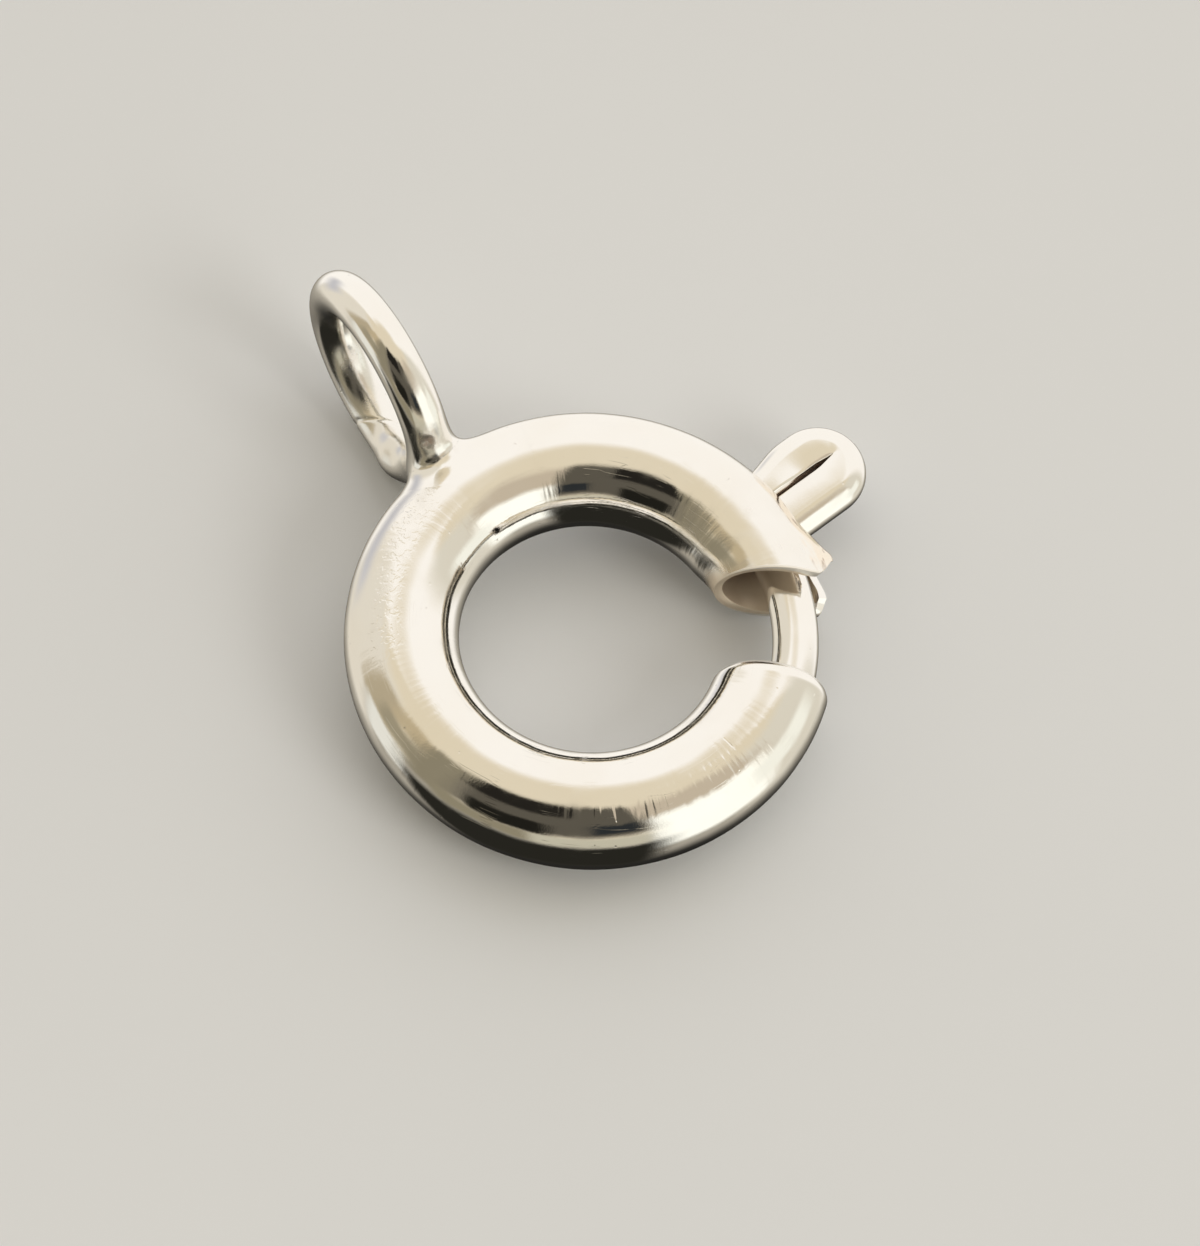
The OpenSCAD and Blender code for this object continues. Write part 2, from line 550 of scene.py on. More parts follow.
@dataclass(frozen=True)
class Silver:
    """Polished silver.

    Attributes:
        name: The material's name.
        tint: Colour of the clean metal.
        cloud: Colour of its faint clouds.
        clouds: Where they lie.
        stain: Colour of the tarnish.
        deepest: The largest share of it.
        tarnish: Where plain silver has some.
        gloss: Roughness where it is cleanest.
        haze: Roughness that smudges add.
        smudges: Where they lie.
        dull: Roughness that a matte place adds.
        dulled: Where plain silver's polish is faintly dull.
        dirty: Roughness that tarnish adds.
        scratched: Roughness that a scratch adds.
        roughest: The largest roughness.
        crust: How far tarnish hides the metal.
        chalk: How far a very matte place does.
        scratch: Depth of the hairline scratches in mm.
        needles: Tilt, turn and number per mm of each set of straight scratches, in radians.
        needle: Ramp over the distance from a scratch, as a share of their spacing.
        needle_length: How many times longer than wide a scratch is.
        ripple: Depth of the soft unevenness in mm.
        swells: How much of it is clouds and how much is waves round the ring.
        swell: Scale per mm and detail of the clouds.
        waves: The waves.
        grain: Depth of the grain in mm, and what a matte and a stained place add to it.
        grain_scale: The grain's scale per mm.
        pits: Depth of the sparse pits in mm.
        pit_scale: How many places for a pit there are per mm.
        pit: Ramp over the distance from a pit, as a share of their spacing.
    """

    name: str
    tint: Colour = (0.955, 0.935, 0.90)
    cloud: Colour = (0.93, 0.895, 0.835)
    clouds: Patches = Patches(0.9, 2.0, Ramp(0.35, 0.7, 0.5))
    # stain: Colour of the tarnish, and in the tube's bore the colour of painted shade.
    stain: Colour = (0.34, 0.22, 0.15)
    deepest: float = 0.94
    tarnish: Patches = Patches(6.0, 3.0, Ramp(0.7, 0.86, 0.25))
    gloss: float = 0.055
    haze: float = 0.12
    smudges: Patches = Patches(1.6, 4.0, Ramp(0.48, 0.72), 0.6)
    dull: float = 0.22
    dulled: Patches = Patches(0.8, 3.0, Ramp(0.58, 0.75, 0.4))
    dirty: float = 0.28
    scratched: float = 0.1
    roughest: float = 0.7
    crust: Ramp = Ramp(0.3, 1.0, 0.75)
    chalk: Ramp = Ramp(0.9, 1.4, 0.6)
    scratch: float = 0.0005
    needles: tuple[tuple[float, float, float], ...] = ((0.4, 0.5, 1.5), (-0.7, 1.9, 1.1), (1.1, 2.7, 1.9))
    needle: Ramp = Ramp(0.02, 0.006, 0.8)
    needle_length: float = 16.0
    ripple: float = 0.0045
    swells: tuple[float, float] = (2.0, 0.36)
    swell: tuple[float, float] = (1.5, 1.0)
    waves: Streaks = Streaks(2.5, 4.5, 1.0)
    grain: tuple[float, float, float] = (0.0004, 0.0012, 0.006)
    grain_scale: float = 38.0
    pits: float = 0.003
    pit_scale: float = 3.2
    pit: Ramp = Ramp(0.07, 0.0)

    def material(self, pose: RestingPose) -> bpy.types.Material:
        """Builds the material.

        Args:
            pose: The pose in which the piece lies.

        Returns:
            The material.
        """
        made = node_material(self.name)
        space = RingSpace(made.node_tree, pose)
        # In the tube, the stained share also holds painted shade in the bore.
        stained, matte, hairs = self.stained(space), self.matte(space), self.hairlines(space)
        hidden = self.crust.of(stained).most(self.chalk.of(matte))
        rough = self.gloss + self.smudges.on(space) * self.haze + matte * self.dull
        rough = rough + stained * self.dirty + hairs * self.scratched
        clean, on_matte, on_stain = self.grain
        grain = space.clouds(self.grain_scale) * (clean + matte * on_matte + stained * on_stain)
        uneven, wavy = (share * self.ripple for share in self.swells)
        height = space.clouds(*self.swell) * uneven + self.waves.on(space) * wavy
        height = height + grain - hairs * self.scratch + self.relief(space)
        space.surface({
            "Base Color": space.mix(stained.least(self.deepest), self.bare(space), self.stain),
            "Metallic": 1.0 - hidden,
            "Roughness": rough.least(self.roughest),
            "Normal": space.bumped(height),
        })
        return made

    def bare(self, space: RingSpace) -> Signal:
        """Gives the metal's colour under the tarnish: clean silver, faintly clouded."""
        return space.mix(self.clouds.on(space), self.tint, self.cloud)

    def hairlines(self, space: RingSpace) -> Signal:
        """Marks sparse short straight scratches that cross each other.

        Args:
            space: Places on the piece.

        Returns:
            1 on a scratch and 0 beside it.
        """
        marks = None
        size = (self.needle_length, 1.0, 1.0)
        for tilt, turn, scale in self.needles:
            laid = space.signal("ShaderNodeMapping", {"vector_type": "TEXTURE"}, {
                "Vector": space.point, "Rotation": (0.0, tilt, turn), "Scale": size})
            drawn = self.needle.of(space.cells(laid, scale))
            marks = drawn if marks is None else marks.most(drawn)
        return marks

    def stained(self, space: RingSpace) -> Signal:
        """Marks tarnish; plain silver has next to none."""
        return self.tarnish.on(space)

    def matte(self, space: RingSpace) -> Signal:
        """Marks where the polish is dull; plain silver has faint patches."""
        return self.dulled.on(space)

    def relief(self, space: RingSpace) -> Signal:
        """Gives further small relief in mm; plain silver has sparse pits."""
        return self.pit.of(space.cells(space.point, self.pit_scale)) * -self.pits


@dataclass(frozen=True)
class CutEnd:
    """The finish of one end of the tube.

    Attributes:
        middle: Middle of the cut.
        into: Direction from the cut into the tube, in degrees.
        reach: How far from the middle the end reaches.
        face: Ramp over the distance from the cut's plane, which marks its face.
        edge: Ramp over the nearness to the middle, which bounds the end.
    """

    middle: Vector
    into: float
    reach: float
    face: Ramp
    edge: Ramp = Ramp(0.1, 0.3)

    def depth(self, space: RingSpace) -> Signal:
        """Gives the depth behind the cut in mm; it means nothing far from the end."""
        return space.beyond(self.middle, polar(self.into, 1.0))

    def here(self, space: RingSpace) -> Signal:
        """Marks the end."""
        return self.edge.of(space.near(self.middle, self.reach))

    def cut(self, space: RingSpace) -> Signal:
        """Marks the cut's face."""
        return self.face.of(abs(self.depth(space))) * self.here(space)


@dataclass(frozen=True)
class RubbedLip:
    """The rubbed strip along the slot's upper lip, with ragged edges and stained creases.

    Attributes:
        middle: Middle of the strip.
        reach: How far it reaches from there.
        ends: Ramp over the nearness to the middle, which bounds it.
        above: Ramp over the turn around the tube in degrees, at its upper edge.
        below: The same at its lower edge.
        ragged: The streaks that make these edges ragged.
        raggedness: How far the edges run out, in degrees.
        creases: The streaks that are its creases.
        crease: Ramp over these streaks, which marks them.
    """

    middle: Vector = spot(-9.0, 3.4, 0.45)
    reach: float = 1.35
    ends: Ramp = Ramp(0.15, 0.5)
    above: Ramp = Ramp(47.0, 41.0)
    below: Ramp = Ramp(8.0, 24.0)
    ragged: Streaks = Streaks(2.5, 6.0, 3.0)
    raggedness: float = 22.0
    creases: Streaks = Streaks(3.0, 13.0, 2.0)
    crease: Ramp = Ramp(0.55, 0.72)

    def on(self, space: RingSpace, ring_r: float) -> Signal:
        """Marks the strip.

        Args:
            space: Places on the piece.
            ring_r: Radius of the tube's middle line.

        Returns:
            1 on the strip and 0 elsewhere.
        """
        around = space.z.math("ARCTAN2", space.z, space.distance - ring_r) * math.degrees(1.0)
        ragged = around + (self.ragged.on(space) - 0.5) * self.raggedness
        strip = self.above.of(ragged) * self.below.of(ragged)
        return strip * self.ends.of(space.near(self.middle, self.reach))


@dataclass(frozen=True)
class FrostedStrip:
    """The strip of fine pits on top of the tube's far side.

    Attributes:
        distance: Distance of its middle from the ring's axis.
        side: Ramp over the distance from that middle.
        top: Ramp over the height.
        first: Ramp over the direction in degrees, where it begins.
        last: The same where it ends.
        pits: Its pits.
        depth: Their depth in mm.
    """

    distance: float = 2.93
    side: Ramp = Ramp(0.32, 0.1)
    top: Ramp = Ramp(0.5, 0.7)
    first: Ramp = Ramp(97.0, 110.0)
    last: Ramp = Ramp(162.0, 146.0)
    pits: Patches = Patches(13.0, 1.0, Ramp(0.5, 0.62))
    depth: float = 0.0022

    def on(self, space: RingSpace) -> Signal:
        """Marks the strip."""
        across = self.side.of(abs(space.distance - self.distance)) * self.top.of(space.z)
        return across * self.first.of(space.direction) * self.last.of(space.direction)

    def relief(self, space: RingSpace) -> Signal:
        """Gives the height of its pits in mm."""
        return self.on(space) * self.pits.on(space) * -self.depth


@dataclass(frozen=True)
class Scar:
    """One short scar on top of the tube.

    Attributes:
        middle: Its middle.
        way: Direction square to it, in degrees.
        width: Ramp over the distance from its line.
        length: Ramp over the distance from its middle, along it.
        top: Ramp over the height.
        depth: Its depth in mm.
    """

    middle: Vector = spot(-83.4, 2.73, 0.82)
    way: float = 6.6
    width: Ramp = Ramp(0.02, 0.004)
    length: Ramp = Ramp(0.1, 0.07)
    top: Ramp = Ramp(0.5, 0.6)
    depth: float = 0.004

    def cut(self, space: RingSpace) -> Signal:
        """Gives how deep it is in mm.

        Args:
            space: Places on the piece.

        Returns:
            The depth.
        """
        across = self.width.of(abs(space.beyond(self.middle, polar(self.way, 1.0))))
        along = self.length.of(abs(space.beyond(self.middle, polar(self.way + 90.0, 1.0))))
        return across * along * self.top.of(space.z) * self.depth


@dataclass(frozen=True)
class Chatter:
    """The fine ripples that a burnisher left square to the tube.

    Attributes:
        middle: Middle of the stretch where they are strongest.
        reach: How far it reaches from there.
        ends: Ramp over the nearness to the middle.
        distance: Distance of the stretch from the ring's axis.
        side: Ramp over the distance from it.
        top: Ramp over the height.
        elsewhere: Where they are fainter.
        scale: Scale per mm of the noise that makes them.
        length: How many times longer than wide they are.
        crest: Ramp over that noise.
        depth: Their depth in mm.
    """

    middle: Vector = spot(-108.0, 2.95, 0.77)
    reach: float = 2.0
    ends: Ramp = Ramp(0.05, 0.45)
    distance: float = 2.97
    side: Ramp = Ramp(0.24, 0.08)
    top: Ramp = Ramp(0.6, 0.7)
    elsewhere: Patches = Patches(1.0, 1.0, Ramp(0.45, 0.65, 0.25))
    scale: float = 10.5
    length: float = 10.0
    crest: Ramp = Ramp(0.36, 0.62)
    depth: float = 0.003

    def relief(self, space: RingSpace) -> Signal:
        """Gives the ripples' height in mm.

        Args:
            space: Places on the piece.

        Returns:
            The height.
        """
        along, squeeze = space.direction * math.radians(ARC_RADIUS), 1.0 / self.length
        laid = space.joined(along, space.distance * squeeze, space.z * squeeze)
        ripples = self.crest.of(space.noise(laid, self.scale, 0.0))
        here = self.ends.of(space.near(self.middle, self.reach)) * self.top.of(space.z)
        here = here * self.side.of(abs(space.distance - self.distance))
        return ripples * here.most(self.elsewhere.on(space)) * self.depth


@dataclass(frozen=True)
class TubeSilver(Silver):
    """The tube's silver: worn to a pinkish brown at the gate, frosted on one side, with painted light near
    the bore's mouth and painted shade deeper in the bore.

    Attributes:
        worn: Colour of the rubbed metal at the gate, and of the bore's mouth, where it is partly painted
            light.
        ring_r: Radius of the tube's middle line in mm.
        skin_r: Radius round the middle line that parts the bore from the skin.
        skin_soft: Over what width it does.
        mouth: The upper end.
        foot: The lower end.
        rubbed_cut: Ramp over the distance from the upper cut, which marks its rubbed edge.
        rubbed_and_lit_bore: Ramp over the depth in the bore of the worn tan, lightest at the mouth: partly
            wear, partly painted light.
        lip: The rubbed stretch of the slot's upper lip.
        lip_share: How strongly that is rubbed.
        lip_stain: How dark its creases are.
        bore_shade: How much painted shade darkens the bore at its mouth.
        deep: Ramp over the depth in the bore of the further painted shade behind.
        specks: The few specks on the skin.
        long_scratches: The streaks that long scratches round the ring follow.
        long_scratch: Half the width of such a scratch, as a share of the streaks' range.
        scratched_places: Where they lie.
        gate: Middle of the dull stretch over the gate.
        gate_reach: How far it reaches.
        gate_patches: Where in it the polish is dull.
        skin_matte: What is left of plain silver's dull patches.
        mouth_matte: How dull the bore is at its mouth.
        cut_matte: How dull the cuts are.
        frost: The frosted strip.
        scar: The scar.
        chatter: The burnisher's ripples.
    """

    worn: Colour = (0.96, 0.83, 0.66)
    ring_r: float = 2.68
    skin_r: float = 0.79
    skin_soft: float = 0.05
    mouth: CutEnd = CutEnd(polar(-21.5, 2.72), 52.5, 1.6, Ramp(0.06, 0.03))
    foot: CutEnd = CutEnd(polar(-52.0, 2.68), 222.0, 1.4, Ramp(0.08, 0.03))
    rubbed_cut: Ramp = Ramp(0.05, 0.02, 0.2)
    # Painted light: the bore's worn tan is lightest at the mouth and fades inwards; partly wear.
    rubbed_and_lit_bore: Ramp = Ramp(1.1, 0.5)
    lip: RubbedLip = RubbedLip()
    lip_share: float = 0.55
    lip_stain: float = 0.6
    # Painted shade: these two darken the bore's colour, more the deeper in it lies.
    bore_shade: float = 0.06
    deep: Ramp = Ramp(0.34, 0.72, 0.66)
    specks: Patches = Patches(7.0, 3.0, Ramp(0.74, 0.84, 0.3))
    long_scratches: Streaks = Streaks(14.0, 9.0, 1.0)
    long_scratch: float = 0.016
    scratched_places: Patches = Patches(2.3, 1.0, Ramp(0.5, 0.62))
    gate: Vector = spot(-8.0, 2.75, 0.78)
    gate_reach: float = 1.15
    gate_patches: Patches = Patches(2.6, 3.0, Ramp(0.4, 0.66))
    skin_matte: float = 0.6
    mouth_matte: float = 1.4
    cut_matte: float = 1.5
    frost: FrostedStrip = FrostedStrip()
    scar: Scar = Scar()
    chatter: Chatter = Chatter()

    def _bore(self, space: RingSpace) -> Signal:
        """Marks the inside of the tube.

        Args:
            space: Places on the piece.

        Returns:
            1 inside the tube and 0 outside.
        """
        off_centre = space.distance - self.ring_r
        from_middle = (off_centre * off_centre + space.z * space.z) ** 0.5
        return from_middle.rise(self.skin_r, self.skin_r - self.skin_soft)

    def bare(self, space: RingSpace) -> Signal:
        """Adds the rubbed colour to the cut, the mouth and the slot's lip; in the mouth it is also painted
        light, lightest at the opening.

        Args:
            space: Places on the piece.

        Returns:
            The metal's colour.
        """
        depth = self.mouth.depth(space)
        # Painted light: inside the bore the worn tan is lightest at the opening and fades inwards; it is
        # partly wear.
        rubbed = self.rubbed_cut.of(abs(depth)).most(self._bore(space) * self.rubbed_and_lit_bore.of(depth))
        lip = self.lip.on(space, self.ring_r) * self.lip_share
        return space.mix((rubbed * self.mouth.here(space)).most(lip), super().bare(space), self.worn)

    def stained(self, space: RingSpace) -> Signal:
        """Marks painted shade in the bore, growing inwards, the crevices of the slot's lip and a few specks.

        Args:
            space: Places on the piece.

        Returns:
            How stained the silver is, with painted shade in the bore, from 0 to 1.
        """
        # Painted shade: the bore's colour darkens, more the deeper in it lies.
        inside = self._bore(space) * (self.bore_shade + self.deep.of(self.mouth.depth(space)))
        crease = self.lip.crease.of(self.lip.creases.on(space))
        creased = self.lip.on(space, self.ring_r) * crease * self.lip_stain
        return inside.most(creased).most(self.specks.on(space))

    def hairlines(self, space: RingSpace) -> Signal:
        """Adds long scratches that run round the ring."""
        streak = self.long_scratches.on(space).line(0.5, self.long_scratch)
        return super().hairlines(space).most(streak * self.scratched_places.on(space))

    def matte(self, space: RingSpace) -> Signal:
        """Marks the dull stretch over the gate, the bore's mouth, the cuts and the frosted strip.

        Args:
            space: Places on the piece.

        Returns:
            How dull the silver is: 0 is polished, and past 0.9 it looks chalky too.
        """
        over_gate = space.near(self.gate, self.gate_reach).most(self.frost.on(space))
        dull = over_gate * self.gate_patches.on(space)
        mouth = self._bore(space) * self.mouth.here(space) * self.mouth_matte
        cuts = self.mouth.cut(space).most(self.foot.cut(space)) * self.cut_matte
        return dull.most(super().matte(space) * self.skin_matte).most(mouth).most(cuts)

    def relief(self, space: RingSpace) -> Signal:
        """Adds the frosted strip's pits, the burnisher's ripples and one scar."""
        raised = super().relief(space) + self.frost.relief(space) + self.chatter.relief(space)
        return raised - self.scar.cut(space)


@dataclass(frozen=True)
class SolderPit:
    """The pit in the solder at the bail's foot and the flat beside it.

    Attributes:
        middle: Middle of the pit.
        depth: Its depth.
        reach: Its radius.
        stain: Radius of its stain.
        flat: Middle of the flat.
        shaved: How much is taken off there.
        width: The flat's radius.
    """

    middle: Place = (-0.279, 3.475, 0.983)
    depth: float = 0.03
    reach: float = 0.085
    stain: float = 0.17
    flat: Place = (-0.08, 3.359, 0.841)
    shaved: float = 0.006
    width: float = 0.12

    def missing(self, points: np.ndarray) -> np.ndarray:
        """Gives how much solder is missing at each point.

        Args:
            points: The points, one a row.

        Returns:
            How much is missing, in mm.
        """
        to_pit = np.linalg.norm(points - np.array(self.middle), axis=1)
        to_flat = np.linalg.norm(points - np.array(self.flat), axis=1)
        pit = self.depth * np.exp(-((to_pit / self.reach) ** 2))
        return pit + self.shaved * np.exp(-((to_flat / self.width) ** 4))


@dataclass(frozen=True)
class SolderedSilver(Silver):
    """The bail's silver, duller below, with a stained pit in the solder at its foot.

    Attributes:
        ripple: Depth of the soft unevenness in mm.
        pit_place: The pit in the solder.
        pit_stain: How stained the whole pit is.
        mottle: The darker mottles in it.
        halo: How far a light tarnish reaches round the pit.
        halo_patches: Where it lies.
        raw: How far the unpolished solder reaches round the pit.
        raw_edge: Ramp over the nearness to the pit, which bounds it.
        below: Ramp over the height of the dull lower strand.
    """

    ripple: float = 0.003
    pit_place: SolderPit = SolderPit()
    pit_stain: float = 0.35
    mottle: Patches = Patches(16.0, 3.0, Ramp(0.3, 0.6, 0.65))
    halo: float = 0.6
    halo_patches: Patches = Patches(5.0, 3.0, Ramp(0.55, 0.8, 0.35))
    raw: float = 0.5
    raw_edge: Ramp = Ramp(0.0, 0.5, 0.8)
    below: Ramp = Ramp(0.3, -0.5, 0.7)

    def stained(self, space: RingSpace) -> Signal:
        """Marks the pit and a light tarnish round it.

        Args:
            space: Places on the piece.

        Returns:
            How stained the silver is, from 0 to 1.
        """
        middle = self.pit_place.middle
        pit = space.near(middle, self.pit_place.stain) * (self.pit_stain + self.mottle.on(space))
        around = space.near(middle, self.halo) * self.halo_patches.on(space)
        return pit.most(around).most(super().stained(space))

    def matte(self, space: RingSpace) -> Signal:
        """Adds the dull lower strand and the unpolished solder round the pit."""
        around = self.raw_edge.of(space.near(self.pit_place.middle, self.raw))
        return super().matte(space).most(self.below.of(space.z)).most(around)


@dataclass(frozen=True)
class BoltSilver(Silver):
    """The bolt's silver, with dirt in the fold's slit.

    Attributes:
        trigger: Direction in which the trigger stands, in degrees.
        side: Ramp over the distance from the trigger's middle plane.
        foot: Ramp over the distance from the ring's axis, where the dirt begins.
        tip: The same where it ends.
        under: Ramp over the depth below the trigger's top.
        top: Height of that top.
    """

    trigger: float = 1.5
    side: Ramp = Ramp(0.06, 0.035)
    foot: Ramp = Ramp(3.0, 3.3)
    tip: Ramp = Ramp(4.56, 4.48)
    under: Ramp = Ramp(0.0, 0.06, 0.9)
    top: float = 0.27

    def stained(self, space: RingSpace) -> Signal:
        """Marks the dirt between the pressed strands.

        Args:
            space: Places on the piece.

        Returns:
            How stained the silver is, from 0 to 1.
        """
        aside = abs(space.beyond(ORIGIN, polar(self.trigger + 90.0, 1.0)))
        out = space.beyond(ORIGIN, polar(self.trigger, 1.0))
        slit = self.side.of(aside) * self.foot.of(out) * self.tip.of(out)
        return (slit * self.under.of(self.top - space.z)).most(super().stained(space))


@dataclass(frozen=True)
class SpringSteel:
    """Drawn steel wire, darkened in use.

    Attributes:
        name: The material's name.
        tint: Colour of the steel.
        dark: Colour of the dirt on it.
        dirt: Where the dirt lies.
        gloss: Roughness where it is cleanest.
        dirty: Roughness that dirt adds.
        drawn: Depth of the drawing marks in mm.
        marks: Scale per mm and detail of these marks.
    """

    name: str = "spring_steel"
    tint: Colour = (0.5, 0.49, 0.475)
    dark: Colour = (0.16, 0.13, 0.11)
    dirt: Patches = Patches(5.0, 3.0, Ramp(0.42, 0.75))
    gloss: float = 0.22
    dirty: float = 0.3
    drawn: float = 0.0012
    marks: tuple[float, float] = (60.0, 1.0)

    def material(self, pose: RestingPose) -> bpy.types.Material:
        """Builds the material for a spring that lies in a pose.

        Args:
            pose: The pose in which the spring lies.

        Returns:
            The material.
        """
        made = node_material(self.name)
        space = RingSpace(made.node_tree, pose)
        dirt = self.dirt.on(space)
        space.surface({
            "Base Color": space.mix(dirt, self.tint, self.dark),
            "Metallic": 1.0,
            "Roughness": self.gloss + dirt * self.dirty,
            "Normal": space.bumped(space.clouds(*self.marks) * self.drawn),
        })
        return made


@dataclass(frozen=True)
class GateEnd:
    """One open end of the tube.

    Attributes:
        direction: Direction of the end's middle in degrees.
        skew: Turn of the cut away from square in degrees.
        blend: Over how many degrees the skew fades.
    """

    direction: float
    skew: float
    blend: float

    def shift(self, distance: float, ring_r: float, from_end: float) -> float:
        """Gives how far the skewed cut moves a point along the ring.

        Args:
            distance: The point's distance from the ring's axis.
            ring_r: Radius of the tube's middle line.
            from_end: How far from the end it is, in degrees.

        Returns:
            The shift in degrees.
        """
        line = math.radians(self.skew)
        across = ring_r * math.sin(line)
        run = math.sqrt(distance * distance - across * across) - ring_r * math.cos(line)
        cut = math.atan2(run * math.sin(line), ring_r + run * math.cos(line))
        return math.degrees(cut) * fade(from_end / self.blend)


@dataclass
class TubeRing:
    """The hollow ring: a bent tube with a gate, a slot for the trigger and a web inside.

    Attributes:
        bench: Where pieces are finished.
        ring_r: Radius of the tube's middle line.
        tube_r: Radius of the tube.
        wall: Thickness of its wall.
        sides: Points round its section.
        upper: The end on the trigger's side.
        lower: The end across the gate.
        push: How far the upper end is pushed outwards, and over how many degrees.
        rim: How far the lower end's rim is drawn in, and over what length.
        slot_half: Half the slot's width.
        slot_end: Direction of the slot's inner end in degrees.
        stop: Direction of the web, and its thickness in degrees.
        edge: Bevel of the rims.
        sharp: Angle in degrees past which an edge is one of a rim's.
        web_sides: Points round the web.
        fine: Degrees and steps of the shortest stretch, at each gate end.
        lips: Degrees and steps of the stretch beside the slot's lips.
        pitch: Degrees of a step elsewhere.
        corners: How far the upper end runs out at the slot's upper and lower corner, in degrees.
        corner_widths: How wide these corners are around the tube, in radians.
        lobe: How far the end draws back under the slot in degrees, and where and how wide in radians.
        corner_fade: Over how many degrees this fades.
        flares: How far the slot's upper and lower lip stand off at the end.
        flare_fade: Over how many degrees that fades.
        rise: How far the lips stand off further on, and over how many degrees that fades.
        ragged: How uneven the lips are, and over how many degrees that fades.
        ragged_scale: Scale of this unevenness per degree along the lip and per radian around the tube.
        ragged_place: Where it lies in the noise.
        lip_width: How wide a lip is around the tube, in radians.
        dents: Depth of the wide and of the narrow dents.
        dent_scales: Their scales per mm.
        dent_shift: Where the narrow dents lie in the noise.
    """

    bench: Workbench
    ring_r: float = 2.68
    tube_r: float = 0.82
    wall: float = 0.13
    sides: int = 96
    upper: GateEnd = GateEnd(-21.5, -16.0, 35.0)
    lower: GateEnd = GateEnd(308.0, 4.0, 25.0)
    push: tuple[float, float] = (0.07, 20.0)
    rim: tuple[float, float] = (0.11, 0.19)
    slot_half: float = 0.38
    slot_end: float = 51.7
    stop: tuple[float, float] = (160.0, 4.0)
    edge: float = 0.018
    sharp: float = 55.0
    web_sides: int = 48
    fine: tuple[float, int] = (4.5, 9)
    lips: tuple[float, int] = (20.0, 26)
    pitch: float = 2.4
    corners: tuple[float, float] = (4.2, 2.4)
    corner_widths: tuple[float, float] = (0.36, 0.3)
    lobe: tuple[float, float, float] = (2.0, -0.8, 0.6)
    corner_fade: float = 11.0
    flares: tuple[float, float] = (0.12, 0.045)
    flare_fade: float = 17.0
    rise: tuple[float, float] = (0.02, 40.0)
    ragged: tuple[float, float] = (0.045, 30.0)
    ragged_scale: tuple[float, float] = (0.2, 1.2)
    ragged_place: float = 3.4
    lip_width: float = 0.55
    dents: tuple[float, float] = (0.0045, 0.0016)
    dent_scales: tuple[float, float] = (0.9, 2.6)
    dent_shift: Place = (7.0, 3.0, 1.0)

    @property
    def slot_turn(self) -> float:
        """Half the slot's width as a turn around the tube, in radians."""
        return math.asin(self.slot_half / self.tube_r)

    def build(self, material: bpy.types.Material) -> bpy.types.Object:
        """Builds and dresses the ring.

        Args:
            material: The tube's finish.

        Returns:
            The finished piece.
        """
        bm = bmesh.new()
        self._sweep(bm, self._section(bm))
        self._open_slot(bm)
        self._shape(bm)
        self._thicken(bm)
        self._web(bm)
        return self.bench.piece(bm, "tube_ring", Body.RING, Slot.TUBE, "ring_body", material)

    def _section(self, bm: bmesh.types.BMesh) -> list[Any]:
        """Makes the tube's section at the upper end, with a row of points on each edge of the slot.

        Args:
            bm: The ring's mesh.

        Returns:
            The section's points and edges.
        """
        verts = section(bm, self.sides, self.tube_r, 0.0, 0.0)
        step = 2 * math.pi / self.sides
        row = round(self.slot_turn / step) * step
        spread = (self.slot_turn - row) / math.sin(row)
        for vert in verts:
            turn = math.atan2(vert.co.z, vert.co.x)
            turn += spread * math.sin(turn)
            vert.co = (self.ring_r + self.tube_r * math.cos(turn), 0.0, self.tube_r * math.sin(turn))
        bmesh.ops.rotate(bm, verts=verts, cent=ORIGIN, matrix=turned(self.upper.direction))
        return verts + bm.edges[:]

    def _sweep(self, bm: bmesh.types.BMesh, front: list[Any]) -> None:
        """Spins the section round the ring, in short steps at the gate and along the slot's lips.

        Args:
            bm: The ring's mesh.
            front: The first section's points and edges.
        """
        to_slot_end = self.slot_end - self.upper.direction - self.fine[0] - self.lips[0]
        to_lower_end = self.lower.direction - self.slot_end - self.fine[0]
        coarse = [(turn, round(turn / self.pitch)) for turn in (to_slot_end, to_lower_end)]
        for turn, steps in (self.fine, self.lips, *coarse, self.fine):
            front = spun(bm, front, ORIGIN, turn, steps)

    def _place_of(self, point: Vector) -> tuple[float, float, float]:
        """Gives a point's direction in degrees, its turn around the tube and its distance from the middle.

        Args:
            point: The point, in the ring's frame.

        Returns:
            The direction, the turn in radians and the distance.
        """
        direction = math.degrees(math.atan2(point.y, point.x))
        if direction < self.upper.direction - 1.0:
            direction += 360.0
        outwards = math.hypot(point.x, point.y) - self.ring_r
        return direction, math.atan2(point.z, outwards), math.hypot(outwards, point.z)

    def _open_slot(self, bm: bmesh.types.BMesh) -> None:
        """Cuts the slot's faces out of the outer side.

        Args:
            bm: The ring's mesh.
        """
        cut = []
        for face in bm.faces:
            direction, turn, _ = self._place_of(face.calc_center_median())
            if abs(turn) < self.slot_turn and direction < self.slot_end:
                cut.append(face)
        bmesh.ops.delete(bm, geom=cut, context="FACES")

    def _shape(self, bm: bmesh.types.BMesh) -> None:
        """Works the plain swept tube into the worn one: skewed cuts, flared lips and soft dents.

        Args:
            bm: The ring's mesh.
        """
        for vert in bm.verts:
            direction, turn, radius = self._place_of(vert.co)
            reach = self.ring_r + radius * math.cos(turn)
            from_upper = direction - self.upper.direction
            from_lower = self.lower.direction - direction
            direction += self.upper.shift(reach, self.ring_r, from_upper)
            direction += self.lower.shift(reach, self.ring_r, from_lower)
            direction += self._corner(turn) * fade(from_upper / self.corner_fade)
            radius += self._lip(from_upper, turn) + self.dent(vert.co)
            radius -= self.rim[0] * max(0.0, 1.0 - math.radians(from_lower) * reach / self.rim[1]) ** 2
            middle = self.ring_r + self.push[0] * fade(from_upper / self.push[1])
            vert.co = polar(direction, middle + radius * math.cos(turn), radius * math.sin(turn))

